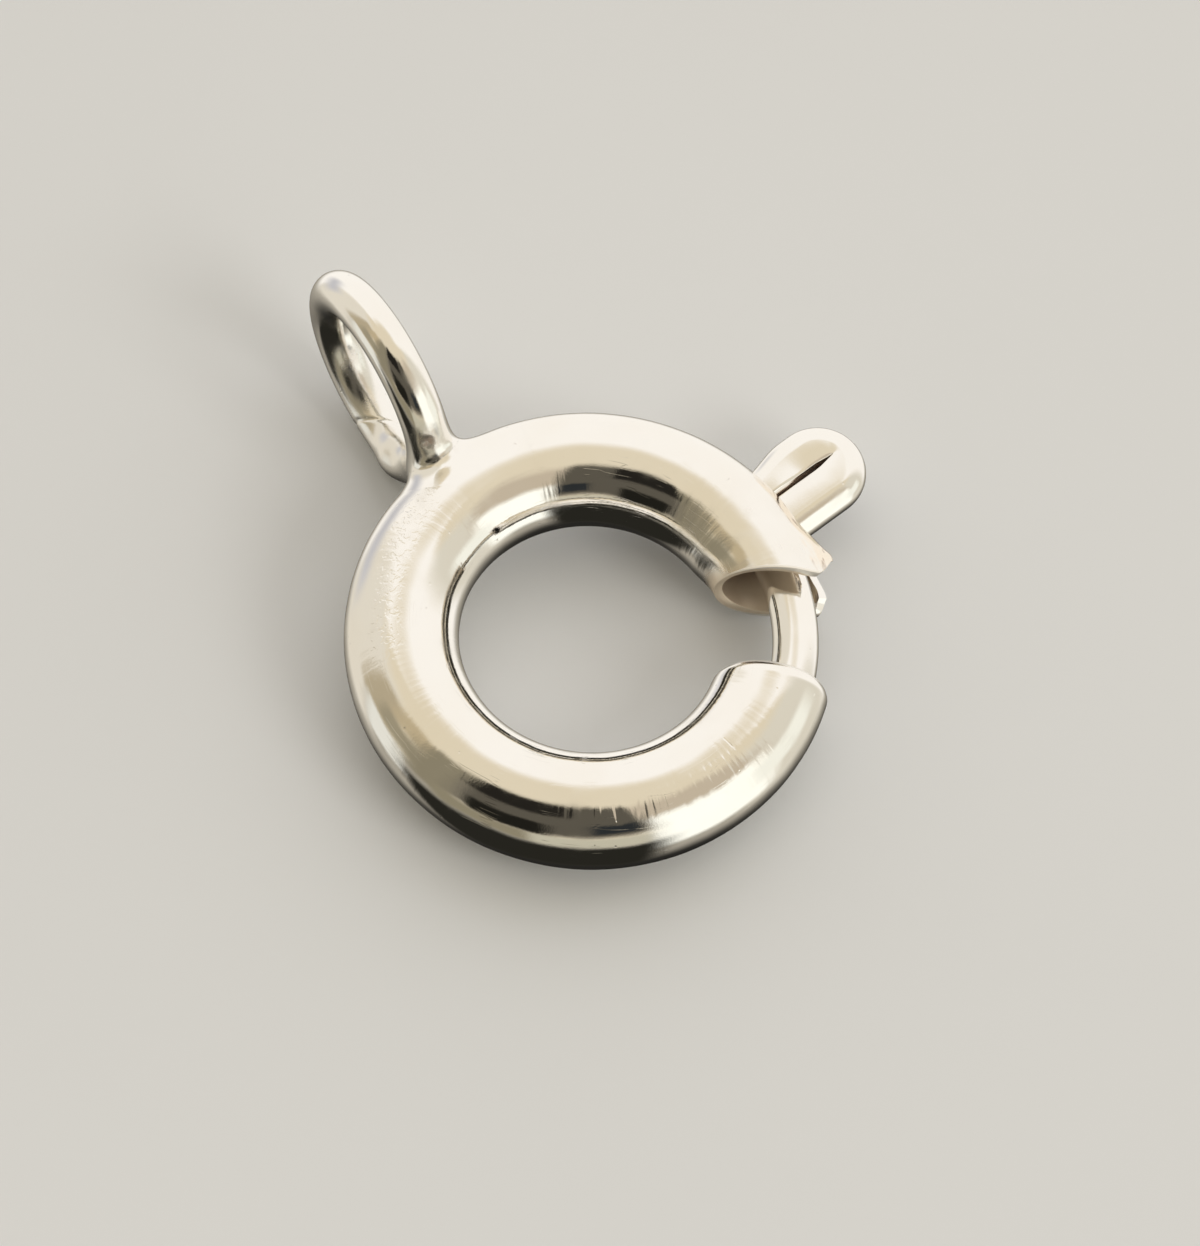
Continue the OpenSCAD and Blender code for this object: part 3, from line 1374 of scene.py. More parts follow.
    def _corner(self, turn: float) -> float:
        """Gives how far the upper cut runs out of line at a turn around the tube, in degrees.

        Args:
            turn: Turn around the tube in radians.

        Returns:
            The shift in degrees.
        """
        above, below = (
            size * bump_of(turn - side * self.slot_turn, width)
            for size, width, side in zip(self.corners, self.corner_widths, (1, -1))
        )
        depth, place, width = self.lobe
        return above + below - depth * bump_of(turn - place, width)

    def _lip(self, from_upper: float, turn: float) -> float:
        """Gives the flare of the slot's lips beside the gate, larger above than below.

        Args:
            from_upper: How far from the upper end it is, in degrees.
            turn: Turn around the tube in radians.

        Returns:
            How far the lip stands off.
        """
        strength = self.flares[0] if turn > 0 else self.flares[1]
        flare = strength * fade(from_upper / self.flare_fade) + self.rise[0] * fade(from_upper / self.rise[1])
        along, around = self.ragged_scale
        uneven = noise.noise(Vector((from_upper * along, turn * around, self.ragged_place)))
        uneven *= fade(from_upper / self.ragged[1])
        return (flare + uneven * self.ragged[0]) * bump_of(abs(turn) - self.slot_turn, self.lip_width)

    def dent(self, point: Vector) -> float:
        """Gives the soft unevenness of the hand-polished tube.

        Args:
            point: The point, in the ring's frame.

        Returns:
            How far the skin stands off there.
        """
        wide, narrow = (point * scale for scale in self.dent_scales)
        deep, shallow = self.dents
        return deep * noise.noise(wide) + shallow * noise.noise(narrow + Vector(self.dent_shift))

    def _thicken(self, bm: bmesh.types.BMesh) -> None:
        """Gives the wall its thickness inwards and eases the edges of its rims.

        Args:
            bm: The ring's mesh.
        """
        bmesh.ops.recalc_face_normals(bm, faces=bm.faces)
        probe = bm.faces[0]
        place = probe.calc_center_median()
        middle = Vector((place.x, place.y, 0.0)).normalized() * self.ring_r
        if (place - middle).dot(probe.normal) < 0:
            bmesh.ops.reverse_faces(bm, faces=bm.faces)
        bmesh.ops.solidify(bm, geom=bm.faces[:], thickness=self.wall)
        corner = math.radians(self.sharp)
        sharp = [edge for edge in bm.edges if edge.is_manifold and edge.calc_face_angle() > corner]
        bmesh.ops.bevel(bm, geom=sharp, offset=self.edge, offset_type="OFFSET", segments=2, profile=0.5,
                        affect="EDGES", material=-1, clamp_overlap=True)

    def _web(self, bm: bmesh.types.BMesh) -> None:
        """Adds the plain web inside the tube that the spring bears on.

        Args:
            bm: The ring's mesh.
        """
        direction, thickness = self.stop
        middle_r = self.tube_r - self.wall / 2
        verts = section(bm, self.web_sides, middle_r, direction, self.ring_r, filled=True)
        grown = bmesh.ops.extrude_face_region(bm, geom=[verts[0].link_faces[0]], use_keep_orig=True)["geom"]
        moved = verts_of(grown)
        across = polar(direction + 90.0, self.ring_r * math.radians(thickness))
        bmesh.ops.translate(bm, verts=moved, vec=across)
        web = {item for vert in verts + moved for item in vert.link_faces}
        bmesh.ops.recalc_face_normals(bm, faces=list(web))


@dataclass
class Bail:
    """The wire ring soldered across the tube, with the solder at its foot.

    Attributes:
        bench: Where pieces are finished.
        tube: The ring that it is soldered to.
        centre: The loop's centre.
        facing: Direction of the loop's plane in degrees.
        loop_r: Radius of the wire's middle line.
        wire_r: Radius of the wire.
        solder: How wide the solder blends wire and tube.
        pit: The pit in the solder.
        under: Depth of the skirt that the solder rises from, in the tube's wall.
        skirt: Half the skirt's width along the ring, in degrees.
        skirt_steps: Its steps around the tube and along the ring.
        around: The skirt's lower and upper edge around the tube, in degrees.
        fading: Over how many degrees the skirt sinks into the tube at its edges.
        lift: How far the skirt stands over the tube's skin.
        sink: How far it lies under the skin at its edges.
        swelling: Height, place on the loop in degrees and width in degrees of the swelling by the seam.
        swollen_to: How far across the wire the swelling reaches, and how softly it ends.
        seam: Depth, place in degrees and width in degrees of the seam.
        slant: How far the seam runs on across the wire, in degrees per mm.
        voxel: Size of the fused mesh's faces.
        rounds: How many times the fused mesh is moved towards the skin.
        least_slope: Smallest squared slope that a move divides by, which keeps it short.
        sides: Points round the wire's section.
        steps: Sections round the loop.
    """

    bench: Workbench
    tube: TubeRing
    centre: Vector = field(default_factory=lambda: Vector((0.0, 5.0, 0.28)))
    facing: float = 84.0
    loop_r: float = 1.39
    wire_r: float = 0.33
    solder: float = 0.7
    pit: SolderPit = SolderPit()
    under: float = 0.07
    skirt: float = 22.0
    skirt_steps: tuple[int, int] = (80, 32)
    around: tuple[float, float] = (-96.0, 128.0)
    fading: float = 14.0
    lift: float = 0.0015
    sink: float = 0.004
    swelling: tuple[float, float, float] = (0.07, 241.0, 13.0)
    swollen_to: tuple[float, float] = (0.14, 0.05)
    seam: tuple[float, float, float] = (0.016, 261.6, 1.5)
    slant: float = 51.0
    voxel: float = 0.024
    rounds: int = 8
    least_slope: float = 0.2
    sides: int = 64
    steps: int = 180

    def build(self, material: bpy.types.Material) -> bpy.types.Object:
        """Builds and dresses the bail.

        Args:
            material: The bail's finish.

        Returns:
            The finished piece.
        """
        bm = bmesh.new()
        self._loop(bm)
        self._skirt(bm)
        fused = self._fuse(bm)
        self._settle(fused)
        return self.bench.piece(fused, "bail", Body.RING, Slot.WIRE, "ring_body", material)

    @property
    def _outwards(self) -> Vector:
        """The loop plane's direction away from the ring."""
        return polar(self.facing, 1.0)

    @property
    def _across(self) -> Vector:
        """The direction square to the loop's plane."""
        return self._outwards.cross(Vector(RING_AXIS))

    def _loop(self, bm: bmesh.types.BMesh) -> None:
        """Spins the wire into a closed loop.

        Args:
            bm: The bail's mesh.
        """
        verts = bmesh.ops.create_circle(bm, segments=self.sides, radius=self.wire_r)["verts"]
        for turn in (turned(90.0, "X"), turned(90.0, "Y"), turned(90.0), turned(self.facing)):
            bmesh.ops.rotate(bm, verts=verts, cent=ORIGIN, matrix=turn)
        bmesh.ops.translate(bm, verts=verts, vec=self.centre + Vector((0.0, 0.0, self.loop_r)))
        spun(bm, verts + bm.edges[:], self.centre, 360.0, self.steps, self._across)

    def _skirt(self, bm: bmesh.types.BMesh) -> None:
        """Adds a curved plate in the tube's wall, from which the solder rises.

        Args:
            bm: The bail's mesh.
        """
        outer = self.tube.tube_r
        low, high = self.around
        middle = Vector((self.tube.ring_r, 0.0, 0.0))
        verts = [bm.verts.new((middle.x + radius, 0.0, 0.0)) for radius in (outer - self.under, outer)]
        bmesh.ops.rotate(bm, verts=verts, cent=middle, matrix=turned(-low, "Y"))
        edge = bm.edges.new(verts)
        steps_around, steps_along = self.skirt_steps
        spun(bm, verts + [edge], middle, high - low, steps_around, (0.0, -1.0, 0.0))
        inside = self.tube.ring_r + outer + self.under
        start = [vert for vert in bm.verts
                 if abs(vert.co.y) < TINY and vert.co.x > 0 and vert.co.length < inside]
        bmesh.ops.rotate(bm, verts=start, cent=ORIGIN, matrix=turned(self.facing - self.skirt))
        faces = list({face for vert in start for face in vert.link_faces})
        edges = list({item for face in faces for item in face.edges})
        spun(bm, start + edges + faces, ORIGIN, 2 * self.skirt, steps_along)

    def _fuse(self, bm: bmesh.types.BMesh) -> bmesh.types.BMesh:
        """Fuses the loop and the plate, which are freed, into one skin of small even faces.

        Args:
            bm: The mesh of the loop and the plate.

        Returns:
            The fused mesh.
        """
        bmesh.ops.recalc_face_normals(bm, faces=bm.faces)
        mesh = bpy.data.meshes.new("bail_rough")
        bm.to_mesh(mesh)
        bm.free()
        rough = bpy.data.objects.new("bail_rough", mesh)
        bpy.context.scene.collection.objects.link(rough)
        remesh = rough.modifiers.new("fuse", "REMESH")
        remesh.mode = "VOXEL"
        remesh.voxel_size = self.voxel
        fused = bmesh.new()
        fused.from_object(rough, bpy.context.evaluated_depsgraph_get())
        bpy.data.objects.remove(rough)
        bpy.data.meshes.remove(mesh)
        return fused

    def _to_tube(self, points: np.ndarray) -> np.ndarray:
        """Gives each point's distance from the tube's skin."""
        outwards = np.hypot(points[:, 0], points[:, 1]) - self.tube.ring_r
        return np.hypot(outwards, points[:, 2]) - self.tube.tube_r

    def _to_wire(self, points: np.ndarray) -> np.ndarray:
        """Gives each point's distance from the bail's wire, with its swelling and its seam.

        Args:
            points: The points, one a row.

        Returns:
            The distances.
        """
        gap = points - np.array(self.centre)
        out, rise, side = gap @ np.array(self._outwards), gap[:, 2], gap @ np.array(self._across)
        turn = np.degrees(np.arctan2(rise, out)) % 360
        height, place, width = self.swelling
        reach, soft = self.swollen_to
        swell = height * np.exp(-(((turn - place) / width) ** 2)) / (1 + np.exp((side - reach) / soft))
        depth, place, width = self.seam
        seam = depth * np.exp(-(((turn - place + side * self.slant) / width) ** 2))
        return np.hypot(np.hypot(out, rise) - self.loop_r, side) - self.wire_r - swell + seam

    def _laid(self, points: np.ndarray) -> np.ndarray:
        """Gives how far the skirt lies under the tube's skin: a hair over it, and sunk at its edges.

        Args:
            points: The points, one a row.

        Returns:
            The depths.
        """
        aside = np.abs(np.degrees(np.arctan2(points[:, 1], points[:, 0])) - self.facing)
        outwards = np.hypot(points[:, 0], points[:, 1]) - self.tube.ring_r
        around = np.degrees(np.arctan2(points[:, 2], outwards))
        low, high = self.around
        around = np.where(around < low - self.fading, around + 360, around)
        beside = ease(aside, self.skirt - self.fading, self.skirt - 1)
        below = ease(-around, -low - 2 * self.fading, -low - 2)
        above = ease(around, high - 2 * self.fading, high - 2)
        return (self.lift + self.sink) * np.maximum(beside, np.maximum(below, above)) - self.lift

    def _skin(self, points: np.ndarray, dents: np.ndarray) -> np.ndarray:
        """Gives each point's distance from the blended skin of wire, solder and tube.

        Args:
            points: The points, one a row.
            dents: How far the tube's skin stands off at each.

        Returns:
            The distances.
        """
        tube, wire = self._to_tube(points) - dents + self._laid(points), self._to_wire(points)
        overlap = np.maximum(self.solder - np.abs(tube - wire), 0.0) / self.solder
        return np.minimum(tube, wire) - overlap ** 3 * self.solder / 6 + self.pit.missing(points)

    def _settle(self, bm: bmesh.types.BMesh) -> None:
        """Moves every point of the fused mesh onto the blended skin, or into the tube's wall.

        Args:
            bm: The fused mesh.
        """
        points = np.array([vert.co for vert in bm.verts])
        dents = np.array([self.tube.dent(vert.co) for vert in bm.verts])
        buried = self._to_tube(points) < -self.under / 2
        for _ in range(self.rounds):
            here = self._skin(points, dents)
            ahead = [self._skin(points + step, dents) for step in np.eye(3) * NUDGE]
            slope = np.stack([(value - here) / NUDGE for value in ahead], axis=1)
            size = np.maximum((slope * slope).sum(axis=1), self.least_slope)
            points[~buried] -= (slope * (here / size)[:, None])[~buried]
        flat = np.hypot(points[:, 0], points[:, 1])
        middle = np.stack([points[:, 0], points[:, 1], np.zeros(len(points))], axis=1)
        middle *= (self.tube.ring_r / flat)[:, None]
        away = points - middle
        away *= ((self.tube.tube_r - self.under) / np.linalg.norm(away, axis=1))[:, None]
        points[buried] = (middle + away)[buried]
        for vert, place in zip(bm.verts, points):
            vert.co = place


@dataclass
class WireBender:
    """Bends a round wire in the ring's middle plane, from one section onwards.

    Attributes:
        radius: The wire's radius.
        sides: Points round the section.
        bm: The mesh that the wire is drawn in.
        front: The section that the wire goes on from.
        back: Its first section.
    """

    radius: float
    sides: int = 40
    bm: bmesh.types.BMesh = field(default_factory=bmesh.new)
    front: list[Any] = field(default_factory=list)
    back: list[Any] = field(default_factory=list)

    def start(self, direction: float, distance: float) -> None:
        """Puts the first section square to the ring at a direction and distance."""
        self.back = section(self.bm, self.sides, self.radius, direction, distance) + self.bm.edges[:]
        self.front = self.back

    def bend(self, centre: Vector, degrees: float, steps: int) -> None:
        """Bends on round a centre."""
        self.front = spun(self.bm, self.front, centre, degrees, steps)

    def draw(self, way: Vector, steps: int) -> None:
        """Draws on straight.

        Args:
            way: How far and where it is drawn.
            steps: Number of steps.
        """
        for _ in range(steps):
            self.front = self.extrude(self.front)
            bmesh.ops.translate(self.bm, verts=verts_of(self.front), vec=way / steps)

    def dome(self, rim: list[Any], way: Vector, bulge: float, steps: int = 12) -> None:
        """Closes an end with a dome.

        Args:
            rim: The section at that end.
            way: Unit direction in which the dome points.
            bulge: Height of the dome.
            steps: Rings of the dome.
        """
        for step in range(1, steps + 1):
            before, now = (math.radians(90.0 * part / steps) for part in (step - 1, step))
            rim = self.extrude(rim)
            verts = verts_of(rim)
            middle = sum((vert.co for vert in verts), Vector()) / len(verts)
            grow = way * bulge * (math.sin(now) - math.sin(before))
            for vert in verts:
                vert.co = middle + grow + (vert.co - middle) * (math.cos(now) / math.cos(before))
        bmesh.ops.remove_doubles(self.bm, verts=verts_of(rim), dist=NUDGE)

    def extrude(self, geom: list[Any]) -> list[Any]:
        """Extrudes the edges of a section and gives the new section.

        Args:
            geom: The section's points and edges.

        Returns:
            The new section's points and edges.
        """
        made = bmesh.ops.extrude_edge_only(self.bm, edges=edges_of(geom))["geom"]
        verts = set(verts_of(made))
        return list(verts) + [edge for edge in edges_of(made) if set(edge.verts) <= verts]


@dataclass(frozen=True)
class Hollow:
    """A shallow place on top of the trigger.

    Attributes:
        along: Its place along the trigger.
        across: Its place across it.
        length: Half its length.
        width: Half its width.
        depth: Its depth.
    """

    along: float
    across: float
    length: float
    width: float
    depth: float

    def depth_at(self, place: Vector) -> float:
        """Gives the depth at a place."""
        near = bump_of(place.y - self.across, self.width) * bump_of(place.x - self.along, self.length)
        return self.depth * near


@dataclass
class Bolt:
    """The wire bolt, bent out into a folded thumb trigger and back into the tube.

    Attributes:
        bench: Where pieces are finished.
        wire_r: Radius of the wire.
        bolt_r: Distance of the bolt's middle line from the ring's axis.
        tail_r: The same of its tail.
        nose: Direction of the round nose's root in degrees.
        trigger: Direction in which the trigger stands, in degrees.
        strand: Distance of each folded strand from the trigger's middle.
        fold: Distance of the fold's centre from the ring's axis.
        bend_r: Radius of the bends at the trigger's foot.
        tail: Direction of the tail's end in degrees.
        steps: Steps of each stretch from the nose to the tail: bolt, bend, strand, fold, strand, bend, tail.
        tail_bulge: Height of the tail's domed end, as a share of the wire's radius.
        squash: How square the pressed strands are.
        pressed: Where the pressing begins, and over what length it grows.
        slit: Half the slit's width where it is closed and what it gains where it is open.
        open_at: Where along the trigger it is most open, and how far that reaches.
        slit_end: Where the slit's outer end lies.
        drawn: How far the wire is drawn out beyond that end.
        drawn_over: Half the width and the lengths before and beyond the end over which that fades.
        taper: Half the least width of the slit, what it gains inwards, and where and how fast.
        held: How far inwards the slit's edge holds the strands back, and over what share that fades.
        narrowed: Share by which the rear strand is narrowed at its foot, from where and how far.
        fold_start: Where along the trigger the fold's pressing is worked out from.
        fold_spare: How far beside the strands it still is.
        hollows: The flat and the crease on top.
    """

    bench: Workbench
    wire_r: float = 0.33
    bolt_r: float = 2.93
    tail_r: float = 2.68
    nose: float = -54.2
    trigger: float = 1.5
    strand: float = 0.365
    fold: float = 4.255
    bend_r: float = 0.42
    tail: float = 37.9
    steps: tuple[int, ...] = (48, 16, 16, 40, 20, 16, 12)
    tail_bulge: float = 0.4
    squash: float = 6.0
    pressed: tuple[float, float] = (3.38, 0.3)
    slit: tuple[float, float] = (0.006, 0.034)
    open_at: tuple[float, float] = (4.12, 0.5)
    slit_end: float = 4.34
    drawn: float = 0.2
    drawn_over: tuple[float, float, float] = (0.3, 0.24, 0.5)
    taper: tuple[float, float, float, float] = (0.004, 0.042, 4.15, 0.36)
    held: tuple[float, float] = (0.9, 0.4)
    narrowed: tuple[float, float, float] = (0.2, 3.3, 0.75)
    fold_start: float = 3.2
    fold_spare: float = 0.01
    hollows: tuple[Hollow, ...] = (Hollow(4.0, 0.15, 0.52, 0.17, 0.05), Hollow(4.5, 0.06, 0.16, 0.16, 0.03))

    def build(self, material: bpy.types.Material) -> bpy.types.Object:
        """Builds and dresses the bolt.

        Args:
            material: The bolt's finish.

        Returns:
            The finished piece.
        """
        bender = WireBender(self.wire_r)
        bender.start(self.nose, self.bolt_r)
        offset = self.strand + self.bend_r
        front_r, rear_r = self.bolt_r + self.bend_r, self.tail_r + self.bend_r
        front_turn, rear_turn = (math.degrees(math.asin(offset / reach)) for reach in (front_r, rear_r))
        outwards = polar(self.trigger, 1.0)
        bolt, front_bend, front, fold, rear, rear_bend, tail = self.steps
        bender.bend(Vector(), self.trigger - front_turn - self.nose, bolt)
        bender.bend(polar(self.trigger - front_turn, front_r), front_turn - 90.0, front_bend)
        bender.draw(outwards * (self.fold - front_r * math.cos(math.radians(front_turn))), front)
        bender.bend(outwards * self.fold, 180.0, fold)
        bender.draw(outwards * (rear_r * math.cos(math.radians(rear_turn)) - self.fold), rear)
        bender.bend(polar(self.trigger + rear_turn, rear_r), rear_turn - 90.0, rear_bend)
        bender.bend(Vector(), self.tail - self.trigger - rear_turn, tail)
        bender.dome(bender.back, -polar(self.nose + 90.0, 1.0), self.wire_r)
        bender.dome(bender.front, polar(self.tail + 90.0, 1.0), self.wire_r * self.tail_bulge)
        bm = bender.bm
        bmesh.ops.recalc_face_normals(bm, faces=bm.faces)
        self._press_fold(bm)
        return self.bench.piece(bm, "bolt", Body.LEVER, Slot.WIRE, "lever", material)

    def _press_fold(self, bm: bmesh.types.BMesh) -> None:
        """Presses the folded strands flat against each other, all but a slit that opens outwards.

        Args:
            bm: The bolt's mesh.
        """
        back = turned(-self.trigger)
        forth = back.inverted()
        half = self.strand + self.wire_r + self.fold_spare
        for vert in bm.verts:
            local = back @ vert.co
            if local.x > self.fold_start and abs(local.y) < half:
                vert.co = forth @ self._pressed(local)

    def _pressed(self, local: Vector) -> Vector:
        """Gives the pressed place of a point on the fold.

        Args:
            local: The point, with X along the trigger and Y across it.

        Returns:
            Its new place.
        """
        spine = Vector((min(local.x, self.fold), 0.0))
        gap = Vector((local.x, local.y)) - spine
        inwards = (self.strand - gap.length) / self.wire_r
        if inwards > 0.0 and gap.length > TINY:
            rise = min(abs(local.z) / self.wire_r, 1.0)
            squared = (1.0 - rise ** self.squash) ** (1.0 / self.squash)
            share = fade((self.pressed[0] - local.x) / self.pressed[1])
            inwards += (squared - inwards) * share
            slit = self.slit[0] + self.slit[1] * bump_of(local.x - self.open_at[0], self.open_at[1])
            room = self.strand - self.wire_r
            reach = self.strand - inwards * self.wire_r + (slit - room) * max(inwards, 0.0) ** 2 * share
            gap *= reach / gap.length
        place = spine + gap
        if place.y > 0.0:
            share, begin, length = self.narrowed
            place.y *= 1.0 - share * fade((place.x - begin) / length)
        if local.z > 0.0:
            local.z -= sum(hollow.depth_at(place) for hollow in self.hollows)
        place.x += self._drawn_out(place) * max(inwards, 0.0)
        least, gain, begin, length = self.taper
        half = least + gain * fade((place.x - begin) / length)
        inner, over = self.held
        place.y += (min(max(place.y, -half), half) - place.y) * fade((inner - inwards) / over)
        return Vector((place.x, place.y, local.z))

    def _drawn_out(self, place: Vector) -> float:
        """Gives how far the wire is drawn out at a place beyond the slit's end.

        Args:
            place: The place, with X along the trigger and Y across it.

        Returns:
            The length.
        """
        half, before, beyond = self.drawn_over
        near_slit = max(0.0, 1.0 - abs(place.y) / half) * fade((self.slit_end - place.x) / before)
        return self.drawn * near_slit * fade((place.x - self.slit_end) / beyond)


@dataclass
class CoilSpring:
    """The coil spring inside the tube, between the trigger and the web.

    Attributes:
        bench: Where pieces are finished.
        ring_r: Radius of the tube's middle line.
        wire_r: Radius of the wire.
        coil_r: Radius of the coil's middle line.
        start: Direction of its first end in degrees.
        end: Direction of its last end in degrees.
        turns: Number of turns.
        steps: Steps in a turn.
        sides: Points round the wire's section.
    """

    bench: Workbench
    ring_r: float = 2.68
    wire_r: float = 0.07
    coil_r: float = 0.53
    start: float = 18.4
    end: float = 158.5
    turns: int = 21
    steps: int = 24
    sides: int = 10

    def build(self, material: bpy.types.Material) -> bpy.types.Object:
        """Builds the spring.

        Args:
            material: The spring's finish.

        Returns:
            The finished piece.
        """
        bender = WireBender(self.wire_r, self.sides)
        bm = bender.bm
        bmesh.ops.create_circle(bm, segments=self.sides, radius=self.wire_r)
        before = self._station(0)
        bmesh.ops.transform(bm, verts=bm.verts[:], matrix=before)
        first = geom = bm.verts[:] + bm.edges[:]
        for step in range(1, self.turns * self.steps + 1):
            now = self._station(step)
            geom = bender.extrude(geom)
            bmesh.ops.transform(bm, verts=verts_of(geom), matrix=now @ before.inverted())
            before = now
        for rim in (first, geom):
            bmesh.ops.edgeloop_fill(bm, edges=edges_of(rim))
        bmesh.ops.recalc_face_normals(bm, faces=bm.faces)
        made = self.bench.piece(bm, "coil_spring", None, Slot.SPRING, "spring", material)
        start, end = (self.bench.pose.matrix @ polar(way, self.ring_r) for way in (self.start, self.end))
        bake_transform(made)
        return made

    def _on_coil(self, share: float) -> Vector:
        """Gives the middle of the wire a share of the way along the coil.

        Args:
            share: The share.

        Returns:
            The point.
        """
        direction = self.start + (self.end - self.start) * share
        turn = 2 * math.pi * self.turns * share
        return polar(direction, self.ring_r + self.coil_r * math.cos(turn), self.coil_r * math.sin(turn))

    def _station(self, step: int) -> Matrix:
        """Gives the frame of the wire's section at a step, with Z along the wire.

        Args:
            step: The step.

        Returns:
            The frame.
        """
        share = step / (self.turns * self.steps)
        here = self._on_coil(share)
        along = (self._on_coil(share + NUDGE) - self._on_coil(share - NUDGE)).normalized()
        direction = self.start + (self.end - self.start) * share
        away = (here - polar(direction, self.ring_r)).normalized()
        side = along.cross(away).normalized()
        return Matrix.Translation(here) @ Matrix((side.cross(along), side, along)).transposed().to_4x4()


@dataclass(frozen=True)
class PaleFloor:
    """The pale sheet that the clasp lies on, matt with a faint grain.

    Attributes:
        half: Half its side in metres.
        squares: How many squares it has along a side.
        pale: Its colour.
        shade: Colour of its grain.
        rough: Its roughness.
        grain: Scale per metre, detail and roughness of the grain's noise.
    """

    half: float = 0.4
    squares: int = 8
    pale: Colour = (0.79, 0.805, 0.83)
    shade: Colour = (0.75, 0.765, 0.79)
    rough: float = 0.7
    grain: tuple[float, float, float] = (60.0, 5.0, 0.6)

    def build(self) -> bpy.types.Object:
        """Builds the floor as part of the stage; the metal doesn't mirror it.

        Returns:
            The floor.
        """
        material = node_material("pale_sheet")
        bench = NodeBench(material.node_tree)
        cloud = bench.noise(bench.signal("ShaderNodeTexCoord", output="Object"), *self.grain)
        bench.surface({"Base Color": bench.mix(cloud, self.pale, self.shade), "Roughness": self.rough})
        bm = bmesh.new()
        bmesh.ops.create_grid(bm, x_segments=self.squares, y_segments=self.squares, size=self.half)
        made = mesh_object(bm, "floor", material)
        made.visible_glossy = False
        return made


@dataclass(frozen=True)
class SoftLight:
    """One soft light panel, which lights the floor and isn't mirrored by the metal.

    Attributes:
        name: The light's name.
        direction: Direction from the clasp in degrees, seen from above, in the ring's frame.
        height: Height over the horizon in degrees.
        distance: Distance in metres.
        size: Width and depth in metres.
        power: Power in watts.
        colour: Its colour.
    """

    name: str
    direction: float
    height: float
    distance: float
    size: tuple[float, float]
    power: float
    colour: Colour

    def hang(self, target: Vector) -> None:
        """Hangs the panel, facing a target.

        Args:
            target: What it faces.
        """
        data = bpy.data.lights.new(self.name, "AREA")
        data.shape = "RECTANGLE"
        data.size, data.size_y = self.size
        data.energy = self.power
        data.color = self.colour
        made = bpy.data.objects.new(self.name, data)
        rise = math.radians(self.height)
        away = polar(self.direction, math.cos(rise), math.sin(rise))
        made.location = target + away * self.distance
        made.rotation_mode = "QUATERNION"
        made.rotation_quaternion = (-away).to_track_quat("-Z", "Y")
        made.visible_glossy = False
        bpy.context.scene.collection.objects.link(made)


@dataclass(frozen=True)
class RoomPatch:
    """A soft-edged part of the room that the polished metal mirrors.

    Attributes:
        direction: Direction of its middle in degrees, in the ring's frame.
        half: Half its width in degrees.
        low: Height of its lower edge in degrees.
        high: Height of its upper edge in degrees.
        soft: Half the width of its soft edges in degrees.
        colour: Its colour and brightness.
    """

    direction: float
    half: float
    low: float
    high: float
    soft: float
    colour: Colour

    def share(self, level: Signal, z: Signal) -> Signal:
        """Marks the patch on the sky.

        Args:
            level: The view ray's level direction, of length 1.
            z: The ray's Z.

        Returns:
            1 inside the patch and 0 outside.
        """
        aside = z.bench.vector("DOT_PRODUCT", level, polar(self.direction, 1.0), "Value")
        soft = self.soft
        outer, inner = (math.cos(math.radians(min(self.half + edge, 180.0))) for edge in (soft, -soft))
        under, over = (math.sin(math.radians(self.low + edge)) for edge in (-soft, soft))
        above, below = (math.sin(math.radians(min(self.high + edge, 90.0))) for edge in (soft, -soft))
        return aside.rise(outer, inner) * z.rise(under, over) * z.rise(above, below)


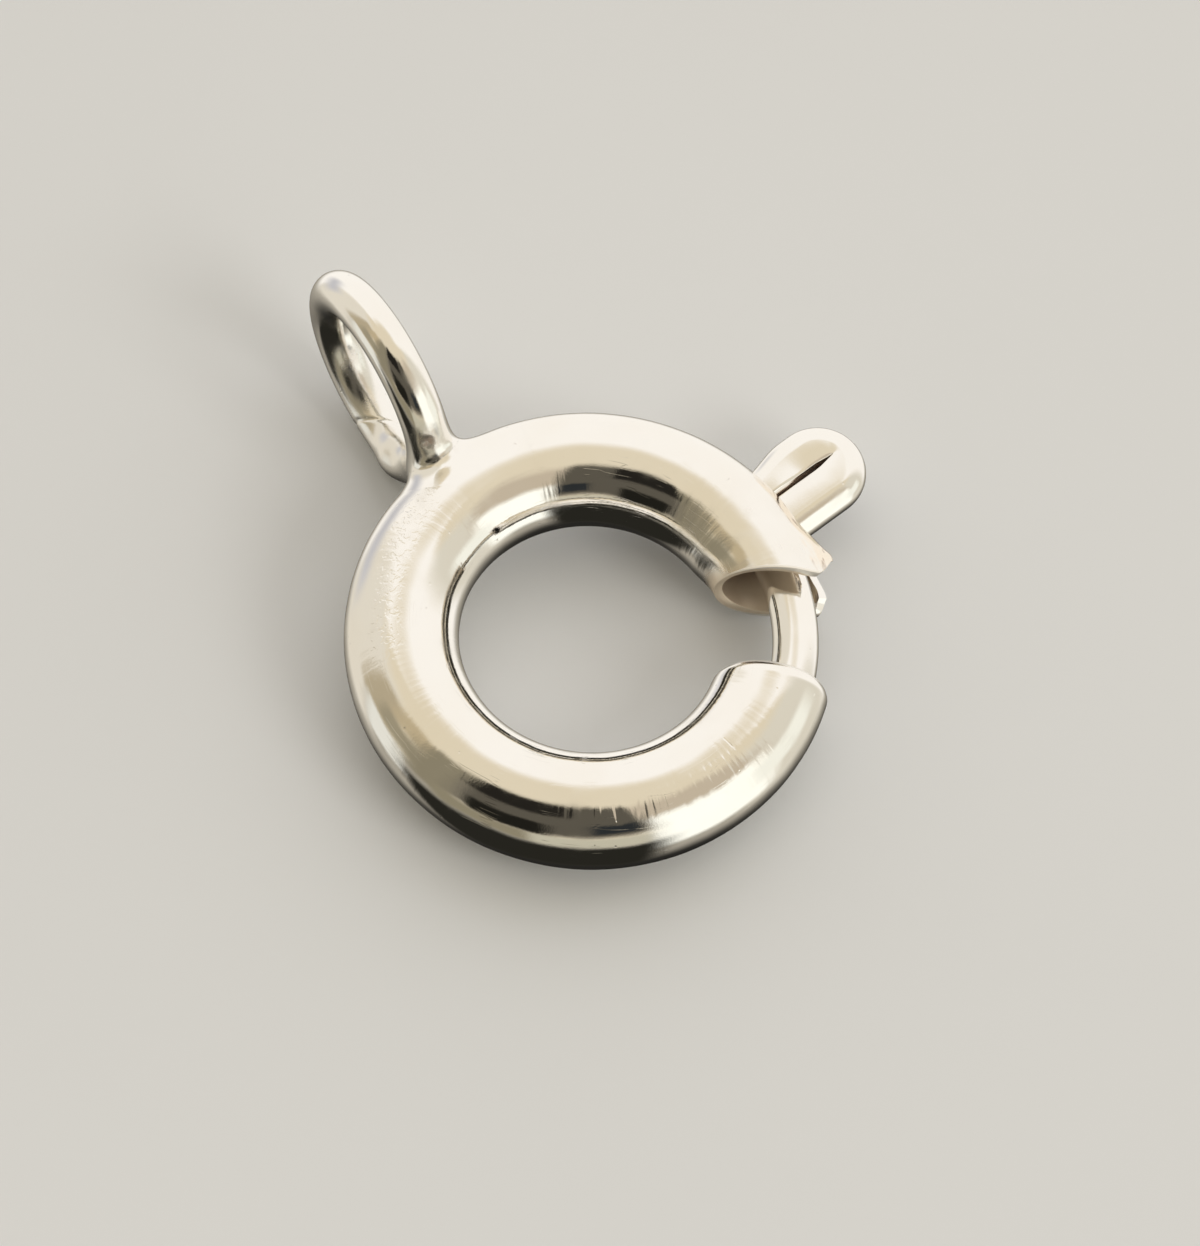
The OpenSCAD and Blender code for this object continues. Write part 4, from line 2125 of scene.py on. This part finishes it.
@dataclass(frozen=True)
class Studio:
    """Plain soft light: a warm ceiling, pale walls, a dark side and one window.

    Attributes:
        target: What the lights face.
        under: Colour of the room straight below.
        bounce: Colour of the room below the horizon.
        ceiling: Colour of the room above it.
        below: Between which heights of the view ray the room straight below passes into its walls.
        horizon: Between which heights the walls pass into the ceiling.
        patches: What stands out of the room, each over the ones before it.
        lights: The light panels.
    """

    target: Vector
    under: Colour = (0.02, 0.019, 0.017)
    bounce: Colour = (0.40, 0.37, 0.31)
    ceiling: Colour = (0.76, 0.675, 0.515)
    below: tuple[float, float] = (-0.99, -0.68)
    horizon: tuple[float, float] = (-0.05, 0.1)
    patches: tuple[RoomPatch, ...] = (
        RoomPatch(-41.0, 24.0, -44.0, 52.0, 10.0, (0.72, 0.68, 0.58)),
        RoomPatch(39.0, 60.0, -38.0, 69.0, 9.0, (1.0, 0.965, 0.91)),
        RoomPatch(118.0, 20.0, -38.0, 56.0, 8.0, (0.77, 0.72, 0.62)),
        RoomPatch(94.0, 8.0, -20.0, 4.0, 12.0, (0.57, 0.565, 0.59)),
        RoomPatch(144.0, 11.0, -4.0, 50.0, 6.0, (0.46, 0.39, 0.27)),
        RoomPatch(157.0, 11.0, 6.0, 30.0, 5.0, (0.34, 0.30, 0.21)),
        RoomPatch(159.0, 11.0, 34.0, 58.0, 6.0, (0.52, 0.43, 0.28)),
        RoomPatch(150.0, 10.0, -30.0, 2.0, 4.0, (0.80, 0.79, 0.72)),
        RoomPatch(174.0, 10.0, -8.0, 64.0, 6.0, (0.26, 0.23, 0.16)),
        RoomPatch(-80.0, 24.0, 20.0, 64.0, 8.0, (0.56, 0.48, 0.37)),
        RoomPatch(-80.0, 23.0, -36.0, 33.0, 6.0, (1.12, 1.12, 1.03)),
        RoomPatch(-50.0, 14.0, -14.0, 14.0, 6.0, (0.95, 0.95, 0.86)),
        RoomPatch(-140.0, 37.0, 8.0, 69.0, 6.0, (0.105, 0.094, 0.073)),
        RoomPatch(-150.0, 50.0, -75.0, -16.0, 7.0, (0.02, 0.019, 0.015)),
        RoomPatch(-165.0, 19.0, -14.0, 5.0, 4.0, (0.27, 0.24, 0.165)),
        RoomPatch(-126.0, 21.0, -15.0, 5.0, 4.0, (0.54, 0.51, 0.40)),
        RoomPatch(-156.0, 15.0, 5.0, 29.0, 3.0, (0.014, 0.013, 0.01)),
        RoomPatch(-155.0, 21.0, 46.0, 68.0, 3.0, (0.018, 0.016, 0.013)),
        RoomPatch(-115.0, 8.0, 15.0, 32.0, 3.0, (0.025, 0.028, 0.03)),
    )
    lights: tuple[SoftLight, ...] = (
        SoftLight("window", -76.0, 38.0, 0.25, (0.10, 0.08), 0.12, (1.0, 0.98, 0.93)),
        SoftLight("sheet_light", 20.0, 80.0, 0.3, (0.3, 0.3), 0.10, (0.93, 0.96, 1.0)),
    )

    def build(self) -> None:
        """Hangs the lights and fills the world."""
        for light in self.lights:
            light.hang(self.target)
        world = bpy.data.worlds.new("room")
        bpy.context.scene.world = world
        world.use_nodes = True
        bench = NodeBench(world.node_tree)
        x, y, z = bench.split(bench.signal("ShaderNodeTexCoord", output="Generated"))
        stretch = (x * x + y * y + TINY) ** -0.5
        level = bench.joined(x * stretch, y * stretch, 0.0)
        colour = bench.mix(z.rise(*self.below), self.under, self.bounce)
        colour = bench.mix(z.rise(*self.horizon), colour, self.ceiling)
        for patch in self.patches:
            colour = bench.mix(patch.share(level, z), colour, patch.colour)
        background = bench.signal("ShaderNodeBackground", {}, {"Color": colour})
        bench.node("ShaderNodeOutputWorld", {}, {"Surface": background})
        bpy.context.scene.view_settings.view_transform = "Standard"


@dataclass(frozen=True)
class PhotoCamera:
    """A camera at the photograph's angle to the ring.

    Attributes:
        pose: Where the ring's frame lies.
        facing: Direction from the ring to the camera in degrees, in the ring's frame.
        height: Its height over the ring's plane in degrees.
        roll: Turn of the picture in degrees.
        distance: Distance from the ring's centre in metres.
        lens: Focal length in mm.
        shift: The picture's shift.
        clip: Nearest and furthest distance that it sees, in metres.
    """

    pose: RestingPose
    facing: float = -131.3
    height: float = 64.96
    roll: float = -4.144
    distance: float = 0.07
    lens: float = 142.17
    shift: tuple[float, float] = (0.00811, 0.01176)
    clip: tuple[float, float] = (0.001, 10.0)

    def build(self) -> bpy.types.Object:
        """Makes the scene's camera.

        Returns:
            The camera.
        """
        rise = math.radians(self.height)
        turn = self.pose.turn.to_3x3()
        back = turn @ polar(self.facing, math.cos(rise), math.sin(rise))
        right = turn @ polar(self.facing + 90.0, 1.0)
        up = back.cross(right)
        tilt = math.radians(self.roll)
        across = right * math.cos(tilt) - up * math.sin(tilt)
        upright = right * math.sin(tilt) + up * math.cos(tilt)
        data = bpy.data.cameras.new("photo_camera")
        data.lens = self.lens
        data.shift_x, data.shift_y = self.shift
        data.clip_start, data.clip_end = self.clip
        made = bpy.data.objects.new("photo_camera", data)
        stand = Matrix.Translation(self.pose.centre + back * self.distance)
        made.matrix_world = stand @ Matrix((across, upright, back)).transposed().to_4x4()
        bpy.context.scene.collection.objects.link(made)
        bpy.context.scene.camera = made
        return made


def main() -> None:
    """Builds the clasp's pieces in order, then the stage."""
    logging.basicConfig(level=logging.INFO, format="%(name)s: %(message)s")
    pose = RestingPose.from_joint(frame["joints"][0])
    bench = Workbench(pose)
    PhotoCamera(pose).build()
    tube = TubeRing(bench)
    tube.build(TubeSilver("tube_silver").material(pose))
    Bail(bench, tube).build(SolderedSilver("bail_silver").material(pose))
    Bolt(bench).build(BoltSilver("bolt_silver").material(pose))
    CoilSpring(bench).build(SpringSteel().material(pose))
    PaleFloor().build()
    Studio(pose.centre).build()


if __name__ == "__main__":
    main()
